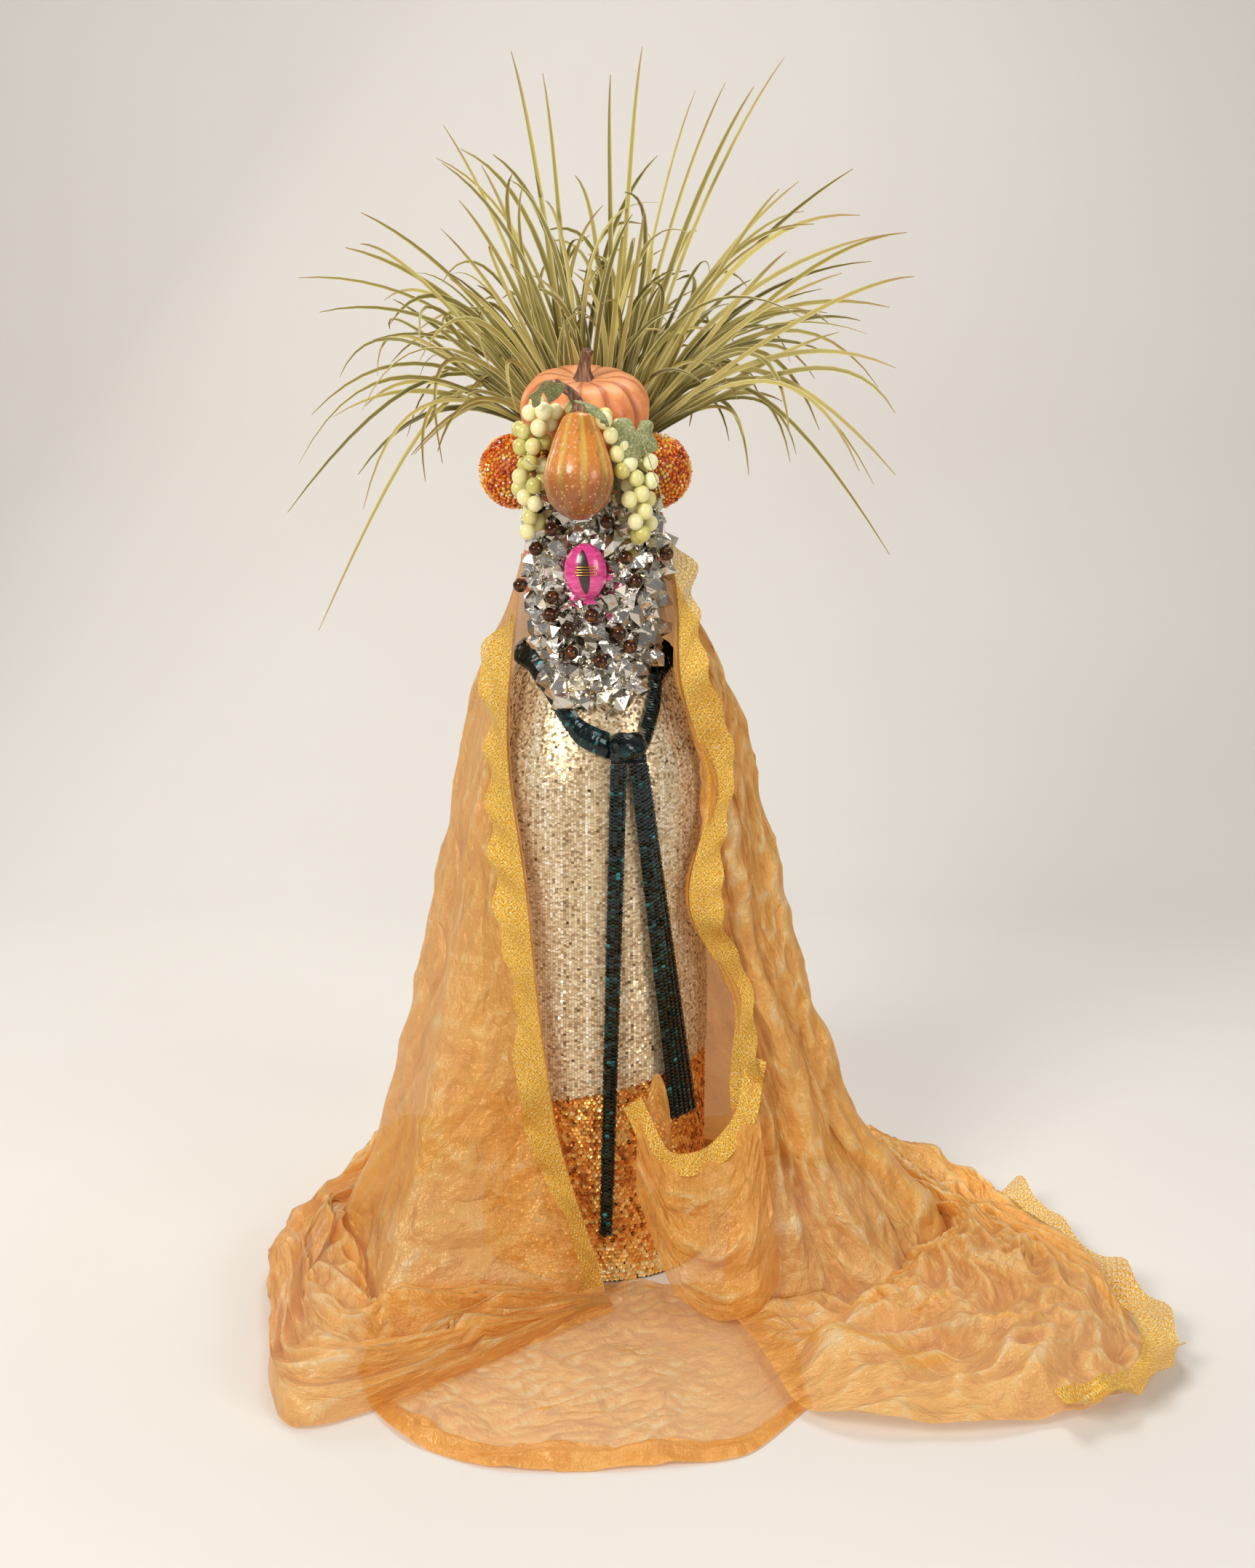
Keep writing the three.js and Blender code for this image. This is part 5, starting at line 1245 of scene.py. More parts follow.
# %% Leaves
LEAF_THICKNESS = 0.0007
LEAVES = {
    "right": {"size": 0.046, "at": (0.62, 1.5), "proud": 0.005, "turn": (-6, 5, 12)},
    "middle": {"size": 0.040, "at": (0.16, 1.452), "proud": 0.004, "turn": (-104, 14, 40)},
    "left": {"size": 0.036, "at": (-0.64, 1.506), "proud": 0.002, "turn": (-128, -8, -24)},
}
leaf_cloth = Finish("leaf_cloth", roughness=0.8)
point = leaf_cloth.where()
pebble = leaf_cloth.cells(point, 620)
patch = leaf_cloth.noise(point, 90, 3.0)
vein = 1 - leaf_cloth.value("vein").math("ABSOLUTE").above(0.08, 0.06)
leaf_cloth.wire(
    base_color=leaf_cloth.mix(vein * 0.5, leaf_cloth.ramp(
        pebble * 0.6 + patch * 0.4, (0.2, "#6d7548"), (0.5, "#959a68"), (0.75, "#b9b98a")), "#c4c596"),
    normal=leaf_cloth.bump(1 - pebble, 0.0009))
for side, leaf in LEAVES.items():
    size = leaf["size"]

    def leaf_point(u, v):
        """The leaf: u goes round it, and v out from its stem."""
        turn = (2 * u - 1) * np.pi * 0.86
        reach = v * size / 2 * (0.80 + 0.24 * np.cos(turn)) * (1 + 0.13 * np.cos(5 * turn * 1.15))
        cup = 0.16 * size * (v ** 2 - 0.3) + 0.035 * size * np.sin(5 * turn) * v
        return np.stack([reach * np.sin(turn), cup, -size * 0.45 - reach * np.cos(turn)], axis=-1)

    blade = draped(48, 12, leaf_point, (size, size))
    vein_layer = blade.verts.layers.float.new("vein")
    for vert in blade.verts:
        turn = math.atan2(vert.co.x, -vert.co.z - size * 0.45)
        vert[vein_layer] = math.sin(2.875 * turn)
    bmesh.ops.remove_doubles(blade, verts=blade.verts, dist=1e-6)
    a, b, c = (math.radians(t) for t in leaf["turn"])
    place = Matrix.Rotation(a, 4, "X") @ Matrix.Rotation(b, 4, "Y") @ Matrix.Rotation(c, 4, "Z")
    place = Matrix.Translation(grape_centre(*leaf["at"]) + (0, -leaf["proud"], 0)) @ place
    bmesh.ops.transform(blade, matrix=place, verts=blade.verts)
    area = sum(f.calc_area() for f in blade.faces)
    leaf_piece = keep(f"vine_leaf_{side}", blade, leaf_cloth, [f"leaf_{side}"])
    f"grapes_{'left' if side == 'left' else 'right'}"
    leaf_piece.modifiers.new("thickness", "SOLIDIFY").thickness = LEAF_THICKNESS

# %% [markdown]
# Two wiry tendrils curl across the bunches. Each is drawn along a curve as the wire was, and thins out to its tip.

# %% Tendrils
TENDRILS = {
    "left": [(-0.058, -0.079, 0.748), (-0.050, -0.094, 0.741), (-0.040, -0.098, 0.740), (-0.031, -0.100, 0.743)],
    "right": [(0.042, -0.094, 0.765), (0.052, -0.092, 0.738), (0.060, -0.085, 0.715), (0.058, -0.086, 0.700),
              (0.064, -0.083, 0.696)],
}
for side, route in TENDRILS.items():
    path = through(np.array(route), np.linspace(0, 1, 40))
    keep(f"tendril_{side}", drawn(path, lambda s: 0.0007 - 0.0003 * s, 6), leaf_cloth)

# %% [markdown]
# ## Beaded ears
# Each ear is a foam ball covered with tiny glass beads in amber, orange, yellow and dark red. A bump map could
# suggest them, but round beads show at the ball's outline, so they are real. They stand on a spiral of even steps,
# and their colour comes in drifts, as on hand-strewn beadwork.

# %% Beaded ears
EAR_RADIUS, CORE_RADIUS, BEAD_RING = 0.034, 0.0318, 0.0325
BEAD_RADIUS = 0.00185
BEADS = 950

bead_glass = Finish("amber_beads", roughness=0.12, coat_weight=0.7, coat_roughness=0.05, transmission_weight=0.15)
shade = bead_glass.value("shade")
bead_glass.wire(
    base_color=bead_glass.ramp(shade, (0.0, "#8a2008"), (0.2, "#d24e10"), (0.45, "#f5801e"), (0.65, "#ffab2e"),
                               (0.85, "#ffd858"), (1.0, "#fff4c0")),
    roughness=0.08 + shade * 0.12)
ball_core = Finish("bead_glue", roughness=0.5)
ball_core.wire(base_color=ball_core.mix(ball_core.noise(ball_core.where(), 60, 4.0), "#8a2c0a", "#d06418"))
sphere = unit(spread_on_ball(BEADS) + rng.normal(0, 0.022, (BEADS, 3)))
for side, end, inwards in (("left", 0, 1), ("right", 1, -1)):
    node = f"ear_ball_{side}"
    centre = middle(node)
    centre[0] = box(node)[end][0] + inwards * EAR_RADIUS
    ball = bmesh.new()
    bmesh.ops.create_uvsphere(ball, u_segments=40, v_segments=24, radius=CORE_RADIUS)
    bmesh.ops.translate(ball, verts=ball.verts, vec=Vector(centre))
    keep(f"ear_core_{side}", ball, ball_core, [node])
    drift = np.array([noise.noise(Vector(s * 1.7 + centre * 40)) for s in sphere])
    tones = np.clip(0.55 + drift * 0.7 + rng.normal(0, 0.17, BEADS), 0, 1)
    bead = bmesh.new()
    bmesh.ops.create_icosphere(bead, subdivisions=1, radius=BEAD_RADIUS)
    spots = centre + sphere * (BEAD_RING + rng.normal(0, 0.0003, (BEADS, 1)))
    made = many(bead, placed(bead, spots, sphere, (0.1, 0.2, 1), 0.0, rng.uniform(0, FULL_TURN, BEADS),
                             rng.uniform(0.85, 1.15, BEADS)), shade=tones)
    keep(f"ear_beads_{side}", made, bead_glass, smooth=False)

# %% [markdown]
# ## Grass hair
# The hair is a plug of artificial grass: long folded blades that rise, arch over and droop. A hair system could grow
# them, but four pull points to each blade give a curve that is easy to steer. Most blades are seeded at random.

# %% Seeded blades
BLADES = 205
ROOT_SINK = 0.012
GRASS_REACH = 0.268
MOST_LEAN = 0.98
grass_root = np.array((0.0, 0.065, box("crown_block")[1][2] + 0.026))

seed_turn = np.arange(BLADES) * GOLDEN_TURN
seed_share = np.sqrt((np.arange(BLADES) + 0.5) / BLADES)
roots = grass_root + np.stack([0.046 * seed_share * np.cos(seed_turn), 0.014 * seed_share * np.sin(seed_turn),
                               np.full(BLADES, -ROOT_SINK)], axis=1)
sideways = np.cos(seed_turn) * seed_share
backwards = np.sin(seed_turn) * seed_share
length = 0.14 + 0.18 * rng.random(BLADES) ** 1.1
lean = np.radians(57) * np.sign(sideways) * np.abs(sideways) ** 1.05 + np.radians(rng.normal(0, 10, BLADES))
lean = np.clip(lean, -MOST_LEAN, MOST_LEAN)
pitch = np.radians(16) * backwards + np.radians(rng.normal(0, 9, BLADES))
heading = np.stack([np.sin(lean), np.sin(pitch) * np.cos(lean), np.cos(lean) * np.cos(pitch)], axis=1)
droop = rng.uniform(0.05, 0.7, BLADES) * (0.4 + np.abs(np.sin(lean)))
curl = np.clip(rng.normal(0, 0.2, (BLADES, 2)), -0.28, 0.28)
rise = heading * (length * 0.5)[:, None]
fall = np.stack([curl[:, 0], curl[:, 1], -droop], axis=1) * length[:, None]
pulls = np.stack([roots, roots + rise * 0.9, roots + rise * 1.55 + fall * 0.25, roots + rise * 1.9 + fall])
pulls[..., 0] = np.clip(pulls[..., 0], -GRASS_REACH, GRASS_REACH)

print("seeded blades: %d, up to %.3f long" % (BLADES, length.max()))

# %% [markdown]
# The long stray blades that shape the outline go to their own measured tips. The lower a tip, the higher its blade
# arches on the way there.

# %% Stray blades
# Measured tips of the stray blades: across and above the floor, in millimetres.
TIPS = [
    (-72, 1100), (-45, 1085), (44, 1100), (170, 1095), (-135, 1041), (142, 1067), (118, 1074), (92, 1070), (16, 1077),
    (-100, 1004), (-122, 976), (-206, 961), (-224, 933), (-270, 908), (-246, 875), (-201, 852), (235, 1003),
    (261, 942), (252, 921), (271, 882), (247, 856), (213, 876), (186, 992), (276, 731), (276, 657), (-168, 749),
    (-281, 697), (-260, 586)]
STRAY = len(TIPS)

tips = np.array([(x * 0.001, 0.04 + 0.02 * math.sin(k * 2.1), z * 0.001) for k, (x, z) in enumerate(TIPS)])
own_root = grass_root + np.stack([np.clip(tips[:, 0] * 0.2, -0.045, 0.045), 0.009 * np.sin(np.arange(STRAY) * 1.7),
                                  np.full(STRAY, -ROOT_SINK)], axis=1)
reach = np.linalg.norm(tips - own_root, axis=1)
low = smoothstep(grass_root[2] + 0.25 - tips[:, 2], 0.0, 0.3)
up = np.stack([np.sign(tips[:, 0]) * (0.18 + 0.35 * low), np.zeros(STRAY), np.ones(STRAY)], axis=1)
first = own_root + unit(up) * (reach * (0.36 + 0.16 * low))[:, None]
arch = np.array((0, 0, 1)) * (reach * (0.16 + 0.22 * low))[:, None]
second = own_root + (tips - own_root) * 0.62 + arch
pulls = np.concatenate([pulls, np.stack([own_root, first, second, tips])], axis=1)

print("blades in all:", pulls.shape[1])

# %% [markdown]
# Every blade is a copy of one strip with a keel, bent along its curve and tapered. Its finish reads how far along and
# across the blade a point lies, for dry tips, pale rims and painted shade that darkens the roots.

# %% Grass blades
BLADE_WIDTH = 0.0050
BLADE_STEPS = 14

strip = bmesh.new()
bmesh.ops.create_grid(strip, x_segments=2, y_segments=BLADE_STEPS, size=0.5)
flat = points_of(strip)[:, :2] + 0.5
s = flat[:, 1][None, :, None]
p0, p1, p2, p3 = (pulls[k][:, None, :] for k in range(4))
centre = (1 - s) ** 3 * p0 + 3 * s * (1 - s) ** 2 * p1 + 3 * s * s * (1 - s) * p2 + s ** 3 * p3
ahead = unit((1 - s) ** 2 * (p1 - p0) + 2 * s * (1 - s) * (p2 - p1) + s * s * (p3 - p2) + 1e-6)
total = len(p0)
facing = np.stack([rng.normal(0, 0.5, total), np.full(total, -1.0), rng.normal(0.15, 0.4, total)], axis=1)[:, None, :]
side = unit(np.cross(ahead, facing))
keel = np.cross(side, ahead)
taper = (1 - 0.86 * s ** 4.5) * (0.75 + 0.25 * np.minimum(s * 6, 1))
width = BLADE_WIDTH * rng.uniform(0.75, 1.15, (total, 1, 1)) * taper
across = (flat[:, 0] - 0.5)[None, :, None]
spots = centre + side * width * across + keel * width * 0.32 * (np.abs(across) * 2 - 0.5)
grass = Finish("grass_blade", roughness=0.5)
along, shade = grass.value("along"), grass.value("shade")
rim = grass.value("across").math("ABSOLUTE").above(0.36, 0.1)
green_tone = grass.ramp(shade, (0.0, "#6a612a"), (0.35, "#8e8240"), (0.65, "#ac9d50"), (1.0, "#c9ba6e"))
edged = grass.mix(rim * 0.8, green_tone, "#e2d898")
dried = grass.mix((along + shade * 0.2).above(1.02, 0.12) * 0.7, edged, "#a8895a")
# Painted shade: the blades darken towards their roots.
shaded = grass.mix((1 - along.above(0.1, 0.14)) * 0.6, dried, "#4a4420")
grass.wire(base_color=shaded, roughness=0.4 + shade * 0.2)
tile = many(strip, spots, shade=rng.random(total), along=np.broadcast_to(flat[:, 1], (total, len(flat))),
            across=np.broadcast_to(flat[:, 0] - 0.5, (total, len(flat))))
keep("grass_hair", tile, grass, ["grass_left", "grass_middle", "grass_right"])

# %% [markdown]
# The blades grow from a low oval plug behind the fruit. A short cone is stretched into the oval, and its upper rim is
# bevelled.

# %% Grass plug
PLUG_SIZE = (0.048, 0.015, 0.0256)
plug = bmesh.new()
bmesh.ops.create_cone(plug, cap_ends=True, segments=48, radius1=1, radius2=0.96, depth=1)
bmesh.ops.scale(plug, verts=plug.verts, vec=PLUG_SIZE)
bmesh.ops.translate(plug, verts=plug.verts, vec=Vector(grass_root - (0, 0, 0.0129)))
rim_edges = [e for e in plug.edges if all(v.co.z > grass_root[2] - 0.004 for v in e.verts)]
bmesh.ops.bevel(plug, geom=rim_edges, offset=0.002, segments=2, profile=0.5, affect="EDGES", material=-1)
turf = Finish("grass_plug", roughness=0.9)
turf.wire(base_color=turf.mix(turf.noise(turf.stretch(turf.where(), (260, 260, 40)), 1.0, 4.0), "#3c3a1c", "#6e6832"))
keep("grass_plug", plug, turf)

# %% [markdown]
# ## Cape
# The cape is one wide cloth of organza, pinned round the back of the head. It hangs in soft folds to the floor and
# runs out into a pool. A simulation would choose its own outline, so the fall lines of the solid model carry the
# cloth, and waves across them make the folds.

# %% Main drape
# Fall lines of the cape: the angle at its top, places down the hang, where it ends on the floor and how high it heaps
# there, all but the angle in radii of the base.
CAPE_LINES = [
    (-80, [(-0.64, -0.79), (-0.49, -1.08), (-0.32, -1.16), (0.11, -1.31)], (0.17, -1.57), 0.06),
    (-97, [(-0.92, -0.34), (-1.12, -0.58), (-1.40, -1.05), (-1.76, -1.78)], (-2.12, -3.32), 0.32),
    (-116, [(-1.01, 0.15), (-1.38, 0.19), (-1.72, 0.04), (-2.21, -0.28)], (-2.62, -1.05), 0.36),
    (-146, [(-0.67, 0.77), (-0.95, 1.08), (-1.18, 1.31), (-1.57, 1.50)], (-2.07, 1.74), 0.21),
    (180, [(0.04, 0.97), (0.05, 1.29), (0.07, 1.55), (0.09, 1.82)], (0.11, 2.34), 0.13),
    (146, [(0.73, 0.77), (1.08, 1.05), (1.42, 1.29), (2.06, 1.54)], (2.80, 1.73), 0.17),
    (117, [(1.16, 0.19), (1.64, 0.21), (2.11, 0.19), (3.08, 0.17)], (3.78, 0.22), 0.21),
    (98, [(1.05, -0.22), (1.42, -0.37), (1.94, -0.54), (2.80, -0.90)], (4.43, -2.21), 0.26),
    (86, [(0.93, -0.44), (1.14, -0.48), (1.56, -0.84), (2.05, -1.38)], (3.63, -3.16), 0.24),
    (74, [(0.80, -0.62), (0.94, -0.63), (1.20, -0.95), (1.08, -1.42)], (1.68, -3.66), 0.11),
]
CAPE_STEPS = [0, 0.2, 0.5, 0.75, 1]
CAPE_TOP = HEAD_FOOT + 0.57 * (HEAD_TOP - HEAD_FOOT)
CAPE_LIFT = 0.003
CORNER_RISE = 0.030
HANG_SHARE = 0.62
FOLDS = 8
FOLD_DEPTH = 0.015
GATHERS = 23
GATHER_DEPTH = 0.009


def cape_form(u, v):
    """The main drape: fall lines, folds and the pool on the floor."""
    hang = np.minimum(v / HANG_SHARE, 1)
    pool = np.maximum((v - HANG_SHARE) / (1 - HANG_SHARE), 0)
    share = np.interp(hang, CAPE_STEPS, np.linspace(0, 1, len(CAPE_STEPS)))
    lines = []
    for angle, fall, end, mound in CAPE_LINES:
        top = around(angle, HEAD_RADIUS + 0.0014, 0.0)
        route = [top, *[(x * BASE_RADIUS, y * BASE_RADIUS, 0) for x, y in fall]]
        line = through(route, share)
        line += pool[:, None] * (np.array((end[0] * BASE_RADIUS, end[1] * BASE_RADIUS, 0)) - line)
        line[:, 2] = mound * BASE_RADIUS
        lines.append(line)
    spot = through(lines, u)
    ahead = through(lines, u + 0.003) - through(lines, u - 0.003)
    out = unit(np.stack([-ahead[:, 1], ahead[:, 0], np.zeros(len(u))], axis=1))
    edge = np.sqrt(np.sin(np.pi * np.clip(u, 0, 1)))
    wave = np.sin(2 * np.pi * FOLDS * u) * edge
    gather = 0.3 * np.sin(2 * np.pi * GATHERS * u + 2.5 * np.sin(9 * u)) * (1 - 0.55 * hang) * edge
    depth = FOLD_DEPTH * hang * (1 - pool)
    spot -= out * (depth * wave + GATHER_DEPTH * np.sqrt(np.maximum(hang, 0)) * (1 - pool) * gather)[:, None]
    swell = spot[:, 2] * np.sin(np.pi * pool) * (0.75 + 0.25 * np.sin(2 * np.pi * FOLDS * u + 4 * pool))
    rise = CORNER_RISE * smoothstep(u, 0.8, 1.0) * (1 - hang) ** 4
    spot[:, 2] = CAPE_LIFT + (CAPE_TOP - CAPE_LIFT) * (1 - hang) + rise + swell
    return spot


print("fall lines of the cape:", len(CAPE_LINES))

# %% [markdown]
# The cloth is crisp and keeps every fold. Noise folded at its zero line gives sharp creases, and the broad folds that
# lie in the pools follow lines on the floor.

# %% Creases and laid folds
CAPE_FLAT = (1.35, 1.02)


def ridges(u, v, scale, seed):
    """Sharp creases between -1 and 1, in the cloth's own metres."""
    spots = zip(u * CAPE_FLAT[0] * scale[0] + seed, v * CAPE_FLAT[1] * scale[1])
    return np.array([1 - 3.2 * abs(noise.noise(Vector((x, y, seed)))) for x, y in spots])


# Folds that lie in the pools: a line on the floor in millimetres, a height and a width.
LAID_FOLDS = [
    ([(267, -151), (293, -203), (317, -239), (340, -296), (363, -333), (390, -372)], 0.018, 0.050),
    ([(210, -65), (285, -72), (266, -155), (224, -219), (182, -300)], 0.017, 0.045),
    ([(94, -125), (128, -153), (191, -118), (261, -74)], 0.020, 0.055),
    ([(387, -165), (408, -257), (404, -307)], 0.014, 0.045),
    ([(-244, -60), (-215, -122), (-192, -155), (-159, -235), (-141, -241)], 0.020, 0.050),
    ([(-171, -7), (-159, -187), (-170, -235)], 0.014, 0.040),
]


def laid_folds(place):
    """The height of the laid folds at floor places: a gentle rise on one side and a steep lip on the other."""
    total = np.zeros(len(place))
    for line, height, width in LAID_FOLDS:
        start, end = np.array(line[:-1]) / 1000, np.array(line[1:]) / 1000
        run = end - start
        apart = place[:, None, :] - start[None]
        along = np.clip(np.sum(apart * run, axis=2) / np.sum(run * run, axis=1), 0, 1)
        gap = apart - along[:, :, None] * run
        far = np.linalg.norm(gap, axis=2)
        nearest = np.argmin(far, axis=1)
        pick = np.arange(len(place)), nearest
        side = run[nearest, 0] * gap[pick][:, 1] - run[nearest, 1] * gap[pick][:, 0]
        spread = np.where(side > 0, width, width * 0.3)
        total = np.maximum(total, height * np.exp(-(far[pick] / spread) ** 2))
    return total


print("laid folds:", len(LAID_FOLDS))

# %% [markdown]
# The whole drape adds the creases to the main drape along its normal, lets the front edges sway, and at last pushes
# the cloth clear of the column and the floor.

# %% Whole drape
CORNER_U, CORNER_U_REACH = 0.92, 0.08
CORNER_V, CORNER_V_REACH = 0.88, 0.12
SLOPE_STEP = 0.002
COLUMN_CLEAR = 0.0022


def cape_point(u, v):
    """The main drape with its creases, kept clear of the column and the floor."""
    # The far corner of the cloth is rounded by drawing its square onto a quarter disc.
    over_u = np.maximum((u - CORNER_U) / CORNER_U_REACH, 0)
    over_v = np.maximum((v - CORNER_V) / CORNER_V_REACH, 0)
    corner = over_u * over_v > 0
    u = np.where(corner, CORNER_U + CORNER_U_REACH * over_u * np.sqrt(np.maximum(1 - over_v ** 2 / 2, 0)), u)
    v = np.where(corner, CORNER_V + CORNER_V_REACH * over_v * np.sqrt(np.maximum(1 - over_u ** 2 / 2, 0)), v)
    spot = cape_form(u, v)
    du = cape_form(u + SLOPE_STEP, v) - cape_form(u - SLOPE_STEP, v)
    dv = cape_form(u, v + SLOPE_STEP) - cape_form(u, v - SLOPE_STEP)
    normal = unit(np.cross(du, dv))
    edge = smoothstep(np.minimum(u, 1 - u), 0.0, 0.05)
    pool = smoothstep(v, HANG_SHARE - 0.05, HANG_SHARE + 0.08) * (1 - smoothstep(v, 0.96, 1.0))
    right = smoothstep(u, 0.55, 0.72)
    calm = smoothstep(v, 0.0, 0.12)
    warp = 0.05 * ridges(u, v, (2.2, 2.2), 3.1)
    hanging = 0.0050 * ridges(u + warp, v, (11, 2.2), 7.7) + 0.0042 * ridges(u + v * 0.6, v - u * 0.5, (9, 11), 1.3)
    fine = 0.0020 * ridges(u - v * 0.4, v + u * 0.5, (27, 22), 5.9)
    heap = 0.015 * ridges(u + warp, v + warp, (5, 6), 2.4) + 0.010 * ridges(u - v, v + u, (11, 12), 8.8)
    crease = calm * (0.55 + 0.75 * right) * (hanging + fine) * (1 - 0.6 * pool) + pool * (heap + fine)
    spot = spot + normal * (crease * edge)[:, None]
    # The front edges wave in and out on their way down.
    sway_right = 0.018 * np.cos(2 * np.pi * (v - 0.195) / 0.187) * calm * (1 - smoothstep(v, 0.34, 0.52))
    sway_left = 0.011 * np.exp(-((v - 0.16) / 0.07) ** 2)
    sway = sway_left * (1 - smoothstep(u, 0.0, 0.1)) - sway_right * smoothstep(u, 0.9, 1.0)
    spot += unit(du) * sway[:, None]
    roll = smoothstep(v, 0.92, 0.965) * (1 - smoothstep(v, 0.98, 1.0))
    spot[:, 2] += laid_folds(spot[:, :2]) * pool * edge + roll * (0.006 + 0.004 * np.sin(41 * u + 3 * np.sin(17 * u)))
    spot[:, 2] = np.maximum(spot[:, 2], COLUMN_CLEAR + 0.002 * pool)
    reach = np.hypot(spot[:, 0], spot[:, 1])
    head = head_radius((spot[:, 2] - HEAD_FOOT) / (HEAD_TOP - HEAD_FOOT)) * (spot[:, 2] > HEAD_FOOT)
    column = np.maximum(np.where(spot[:, 2] < SHOULDER_TOP, gown_radius(spot[:, 2]), 0), head)
    column = np.maximum(column, np.where(spot[:, 2] < SKIRT_TOP, skirt_radius(spot[:, 2]) + 0.002, 0)) + COLUMN_CLEAR
    spot[:, :2] *= np.maximum(1, column / np.maximum(reach, 1e-6))[:, None]
    return spot


print("top of the cape at the back:", cape_point(np.array([0.5]), np.array([0.0]))[0].round(3))

# %% [markdown]
# The finish paints light on the cloth's ridges and shade in its hollows. Each point notes how far it stands out of
# its neighbours, for the finish to read.

# %% Cape cloth
def flat_area(bm):
    return sum(f.calc_area() for f in bm.faces)


def note_folds(bm):
    """Notes how far each point stands out of its neighbours, for painted light on ridges and painted shade in
    hollows.
    """
    layer = bm.verts.layers.float.new("fold")
    bm.normal_update()
    for vert in bm.verts:
        near = [edge.other_vert(vert).co for edge in vert.link_edges]
        centre = sum(near, Vector()) / len(near)
        size = sum((spot - vert.co).length for spot in near) / len(near)
        inner = len(near) == 4
        vert[layer] = inner * max(-1.0, min(1.0, 9 * (vert.co - centre).dot(vert.normal) / size))
    return bm


cape_mesh = note_folds(draped(250, 190, cape_point, CAPE_FLAT))
print("cape area %.3f square metres" % flat_area(cape_mesh))

# %% [markdown]
# Organza is a thin, stiff, open weave. Real threads are finer than a pixel, so the finish lets part of the light
# through, streaks the colour along warp and weft, and gives creases a glossy bump. It also paints light into the
# colour: a satin glint on some facets and specks, lighter ridges and darker hollows.

# %% Organza
def organza(name, thin, thick):
    """A sheer cloth whose cover runs from thin to thick along its threads."""
    cloth = Finish(name, metallic=0.12, sheen_weight=0.3, sheen_roughness=0.3, specular_ior_level=0.8)
    cloth.shader.inputs["Sheen Tint"].default_value = srgb("#ffe0a8")
    flat = cloth.cloth()
    warp = cloth.noise(cloth.stretch(flat, (900, 14, 1)), 1.0, 2.0)
    weft = cloth.noise(cloth.stretch(flat, (14, 900, 1)), 1.0, 2.0)
    slub = warp * 0.5 + weft * 0.5
    grain = cloth.noise(flat, 700, 1.0)
    drift = cloth.noise(flat, 7, 3.0)
    crackle = cloth.noise(flat, 34, 5.0, 0.6)
    bent = cloth.shift(flat, cloth.noise(flat, 12, 3.0) * 0.06)
    frayed = cloth.shift(bent, cloth.noise(flat, 90, 3.0) * 0.012)
    crumple = cloth.cells(bent, 17, "DISTANCE_TO_EDGE").math("MINIMUM", 0.3)
    shards = cloth.cells(bent, 46, "DISTANCE_TO_EDGE").math("MINIMUM", 0.3)
    # Painted light: some flat sides of the crushed cloth and fine specks of grain are lighter, as if they caught the
    # lamps, and others darker.
    facet_light = [cloth.facet(frayed, scale) for scale in (19, 48)]
    light_and_tone = facet_light[0] * 0.12 + facet_light[1] * 0.14 + crackle * 0.3 + drift * 0.1 + slub * 0.1 + grain * 0.24
    single = thin + slub * (thick - thin)
    # Painted light and shade: points that stand out of their neighbours are lighter, and hollows darker.
    lit = light_and_tone + cloth.value("fold") * 0.22
    cloth.wire(
        base_color=cloth.ramp(lit, (0.2, "#d8923c"), (0.38, "#f2b254"), (0.52, "#ffc05a"), (0.66, "#ffd37a"),
                              (0.85, "#fff0bc")),
        roughness=0.18 + crackle * 0.18 + grain * 0.14, alpha=single + (1 - single) * cloth.value("layers") * 0.8,
        normal=cloth.bump(crackle + crumple * 1.8 + shards * 0.5 + grain * 0.05, 0.009, 0.9))
    cloth.let_through("#ffc878", 0.24)
    return cloth


sheer = organza("organza", 0.36, 0.88)
layer = cape_mesh.verts.layers.float.new("layers")
cloth_map = cape_mesh.loops.layers.uv["cloth"]
for vert in cape_mesh.verts:
    place = vert.link_loops[0][cloth_map].uv.x / CAPE_FLAT[0]
    vert[layer] = smoothstep(place, 0.24, 0.36) * (1 - smoothstep(place, 0.66, 0.8))
cape = keep("organza_cape", cape_mesh, sheer, ["cape_left", "cape_back", "cape_right"])

# %% [markdown]
# ## Train
# In front, a single layer of the cape lies flat on the floor with a turned hem. It is a cloth of its own, so that its
# edge can be folded, and its finish is more open than that of the cape.

# %% Train
TRAIN_BACK = box("train_front")[1][1]
TRAIN_WIDTH = 0.350
TRAIN_DEPTH = 0.24
HEM_BAND = 0.021
HEM_ROLL = 0.0075
HEM_LINE = [(-0.196, -0.262), (-0.172, -0.325), (-0.132, -0.374), (-0.075, -0.404), (-0.010, -0.411), (0.060, -0.404),
            (0.126, -0.388), (0.182, -0.316)]


def train_point(u, v):
    """The single layer in front, from a straight back edge to the curved hem, with ripples where it lies open."""
    back = np.stack([(u - 0.54) * TRAIN_WIDTH, np.full(len(u), TRAIN_BACK)], axis=1)
    place = back + (through(HEM_LINE, u) - back) * v[:, None]
    ripple = 0.0046 * ridges(u + 0.4 * v, v - 0.3 * u, (5, 4), 4.4) + 0.0026 * ridges(u + v, v - u, (13, 11), 6.1)
    open_floor = smoothstep(np.minimum(u, 1 - u), 0.1, 0.3) * (1 - 0.6 * smoothstep(v, 0.9, 1.0))
    place[:, 0] += 0.004 * np.sin(9 * v + 3 * u)
    return np.stack([place[:, 0], place[:, 1], 0.0012 + np.maximum(ripple + 0.003, 0) * open_floor], axis=1)


